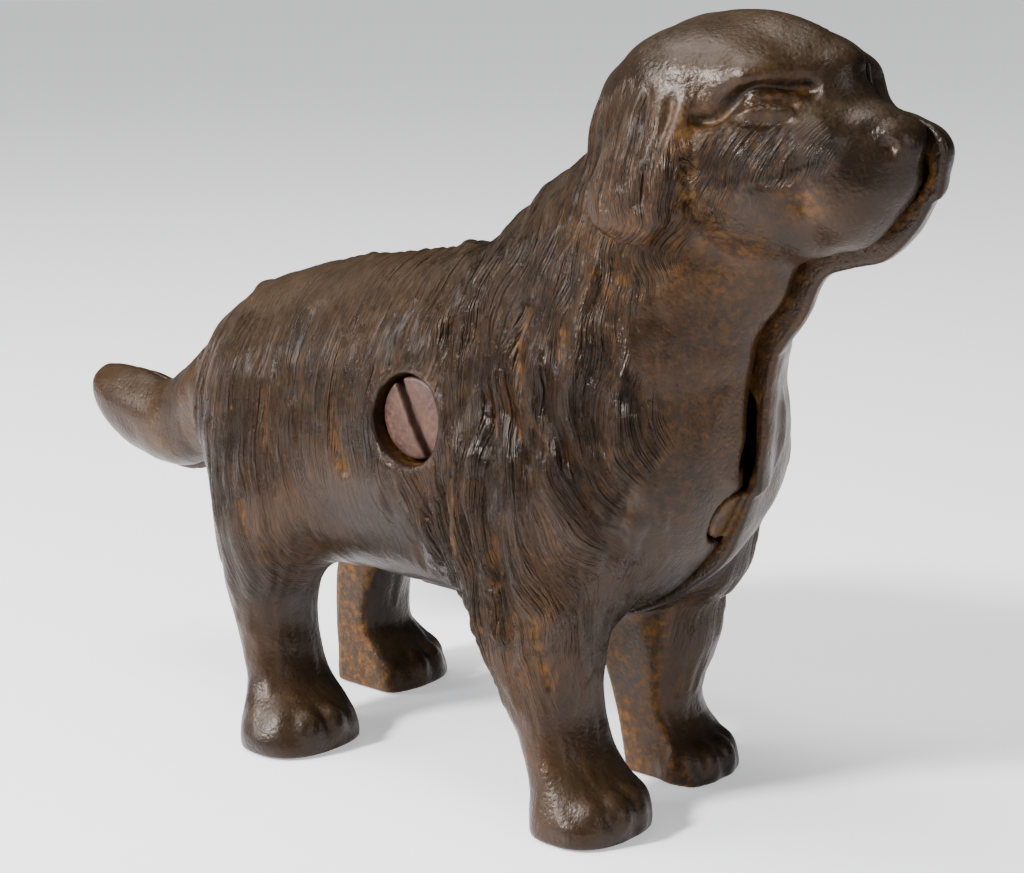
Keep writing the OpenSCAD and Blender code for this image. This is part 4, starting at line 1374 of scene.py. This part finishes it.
class BANK_OT_stage(bpy.types.Operator):
    """Lays the pale floor, hangs the lamps and sets the camera"""

    bl_idname = "bank.stage"
    bl_label = "Stage"

    def execute(self, context):
        scene = context.scene
        s = scene.bank_stage
        a, e = s.azimuth, s.elevation
        back = Vector((math.sin(a) * math.cos(e), -math.cos(a) * math.cos(e), math.sin(e)))
        aim = Vector((s.aim_forward, 0, s.aim_height))
        camera = bpy.data.cameras.new("Camera")
        camera.lens, camera.sensor_width = s.lens, 36
        camera.clip_start, camera.clip_end = 0.01, 20
        thing = bpy.data.objects.new("Camera", camera)
        thing.matrix_world = (
            Matrix.Translation(aim + back * s.distance)
            @ (-back).to_track_quat("-Z", "Y").to_matrix().to_4x4()
            @ Matrix.Rotation(-s.roll, 4, "Z")
        )
        scene.collection.objects.link(thing)
        scene.camera = thing

        floor = self.floor()
        floor.data.materials.append(pale_stage("PaleFloor", (0.93, 0.93, 0.935), 0.35))
        sun = bpy.data.lights.new("Daylight", "SUN")
        sun.energy, sun.angle = SUN_POWER * s.light, SUN_SPREAD
        day = bpy.data.objects.new("Daylight", sun)
        day.rotation_euler = Vector(SUN_WAY).to_track_quat("-Z", "Y").to_euler()
        scene.collection.objects.link(day)
        for name, place, size, power, colour in LAMPS:
            add_lamp(name, place, MIDDLE, size, power * s.light, colour)
        world = bpy.data.worlds.new("PaleRoom")
        scene.world = world
        world.use_nodes = True
        nodes, links = world.node_tree.nodes, world.node_tree.links
        nodes.clear()
        seen = nodes.new("ShaderNodeLightPath")
        level = nodes.new("ShaderNodeMapRange")
        level.inputs["To Min"].default_value = ROOM_LIGHT
        level.inputs["To Max"].default_value = ROOM_SEEN
        room = nodes.new("ShaderNodeBackground")
        room.inputs["Color"].default_value = (0.86, 0.86, 0.88, 1)
        out = nodes.new("ShaderNodeOutputWorld")
        links.new(seen.outputs["Is Camera Ray"], level.inputs["Value"])
        links.new(level.outputs["Result"], room.inputs["Strength"])
        links.new(room.outputs[0], out.inputs["Surface"])
        return {"FINISHED"}

    @staticmethod
    def floor():
        """Large flat disc: rings of growing radius joined by quads."""
        radius = np.array([0.0001, 0.2, 0.6, 1.2, 2.4, 4.0])
        turn = np.linspace(0, 2 * math.pi, 65)[:-1]
        x, y = radius[:, None] * np.cos(turn), radius[:, None] * np.sin(turn)
        points = np.stack([x, y, np.full_like(x, -0.0002)], 2).reshape(-1, 3)
        grid = np.arange(points.shape[0]).reshape(len(radius), -1)
        following = np.roll(grid, -1, 1)
        quads = np.stack([grid[:-1], grid[1:], following[1:], following[:-1]], 2).reshape(-1, 4)
        return put_mesh("Floor", points, quads)


class BANK_PT_panel(bpy.types.Panel):
    bl_label = "Dog Bank"
    bl_idname = "BANK_PT_panel"
    bl_space_type = "VIEW_3D"
    bl_region_type = "UI"
    bl_category = "Dog Bank"

    def draw(self, context):
        scene = context.scene
        for label, group in (
            ("Coat", scene.bank_coat),
            ("Finish", scene.bank_look),
            ("Screw", scene.bank_screw),
            ("Stage", scene.bank_stage),
        ):
            box = self.layout.box()
            box.label(text=label)
            for key in group.__annotations__:
                box.prop(group, key)
        for operator in OPERATORS:
            self.layout.operator(operator.bl_idname)


SETTINGS = {"bank_coat": BankCoat, "bank_look": BankLook, "bank_screw": BankScrew, "bank_stage": BankStage}
OPERATORS = (BANK_OT_right_casting, BANK_OT_left_casting, BANK_OT_clamp_screw, BANK_OT_stage)


def register():
    for kind in (*SETTINGS.values(), *OPERATORS, BANK_PT_panel):
        bpy.utils.register_class(kind)
    for name, kind in SETTINGS.items():
        setattr(bpy.types.Scene, name, PointerProperty(type=kind))


def unregister():
    for name in SETTINGS:
        delattr(bpy.types.Scene, name)
    for kind in (BANK_PT_panel, *OPERATORS, *SETTINGS.values()):
        bpy.utils.unregister_class(kind)


def main():
    register()
    bpy.ops.bank.right_casting()
    bpy.ops.bank.left_casting()
    bpy.ops.bank.clamp_screw()
    bpy.ops.bank.stage()


if __name__ == "__main__":
    main()
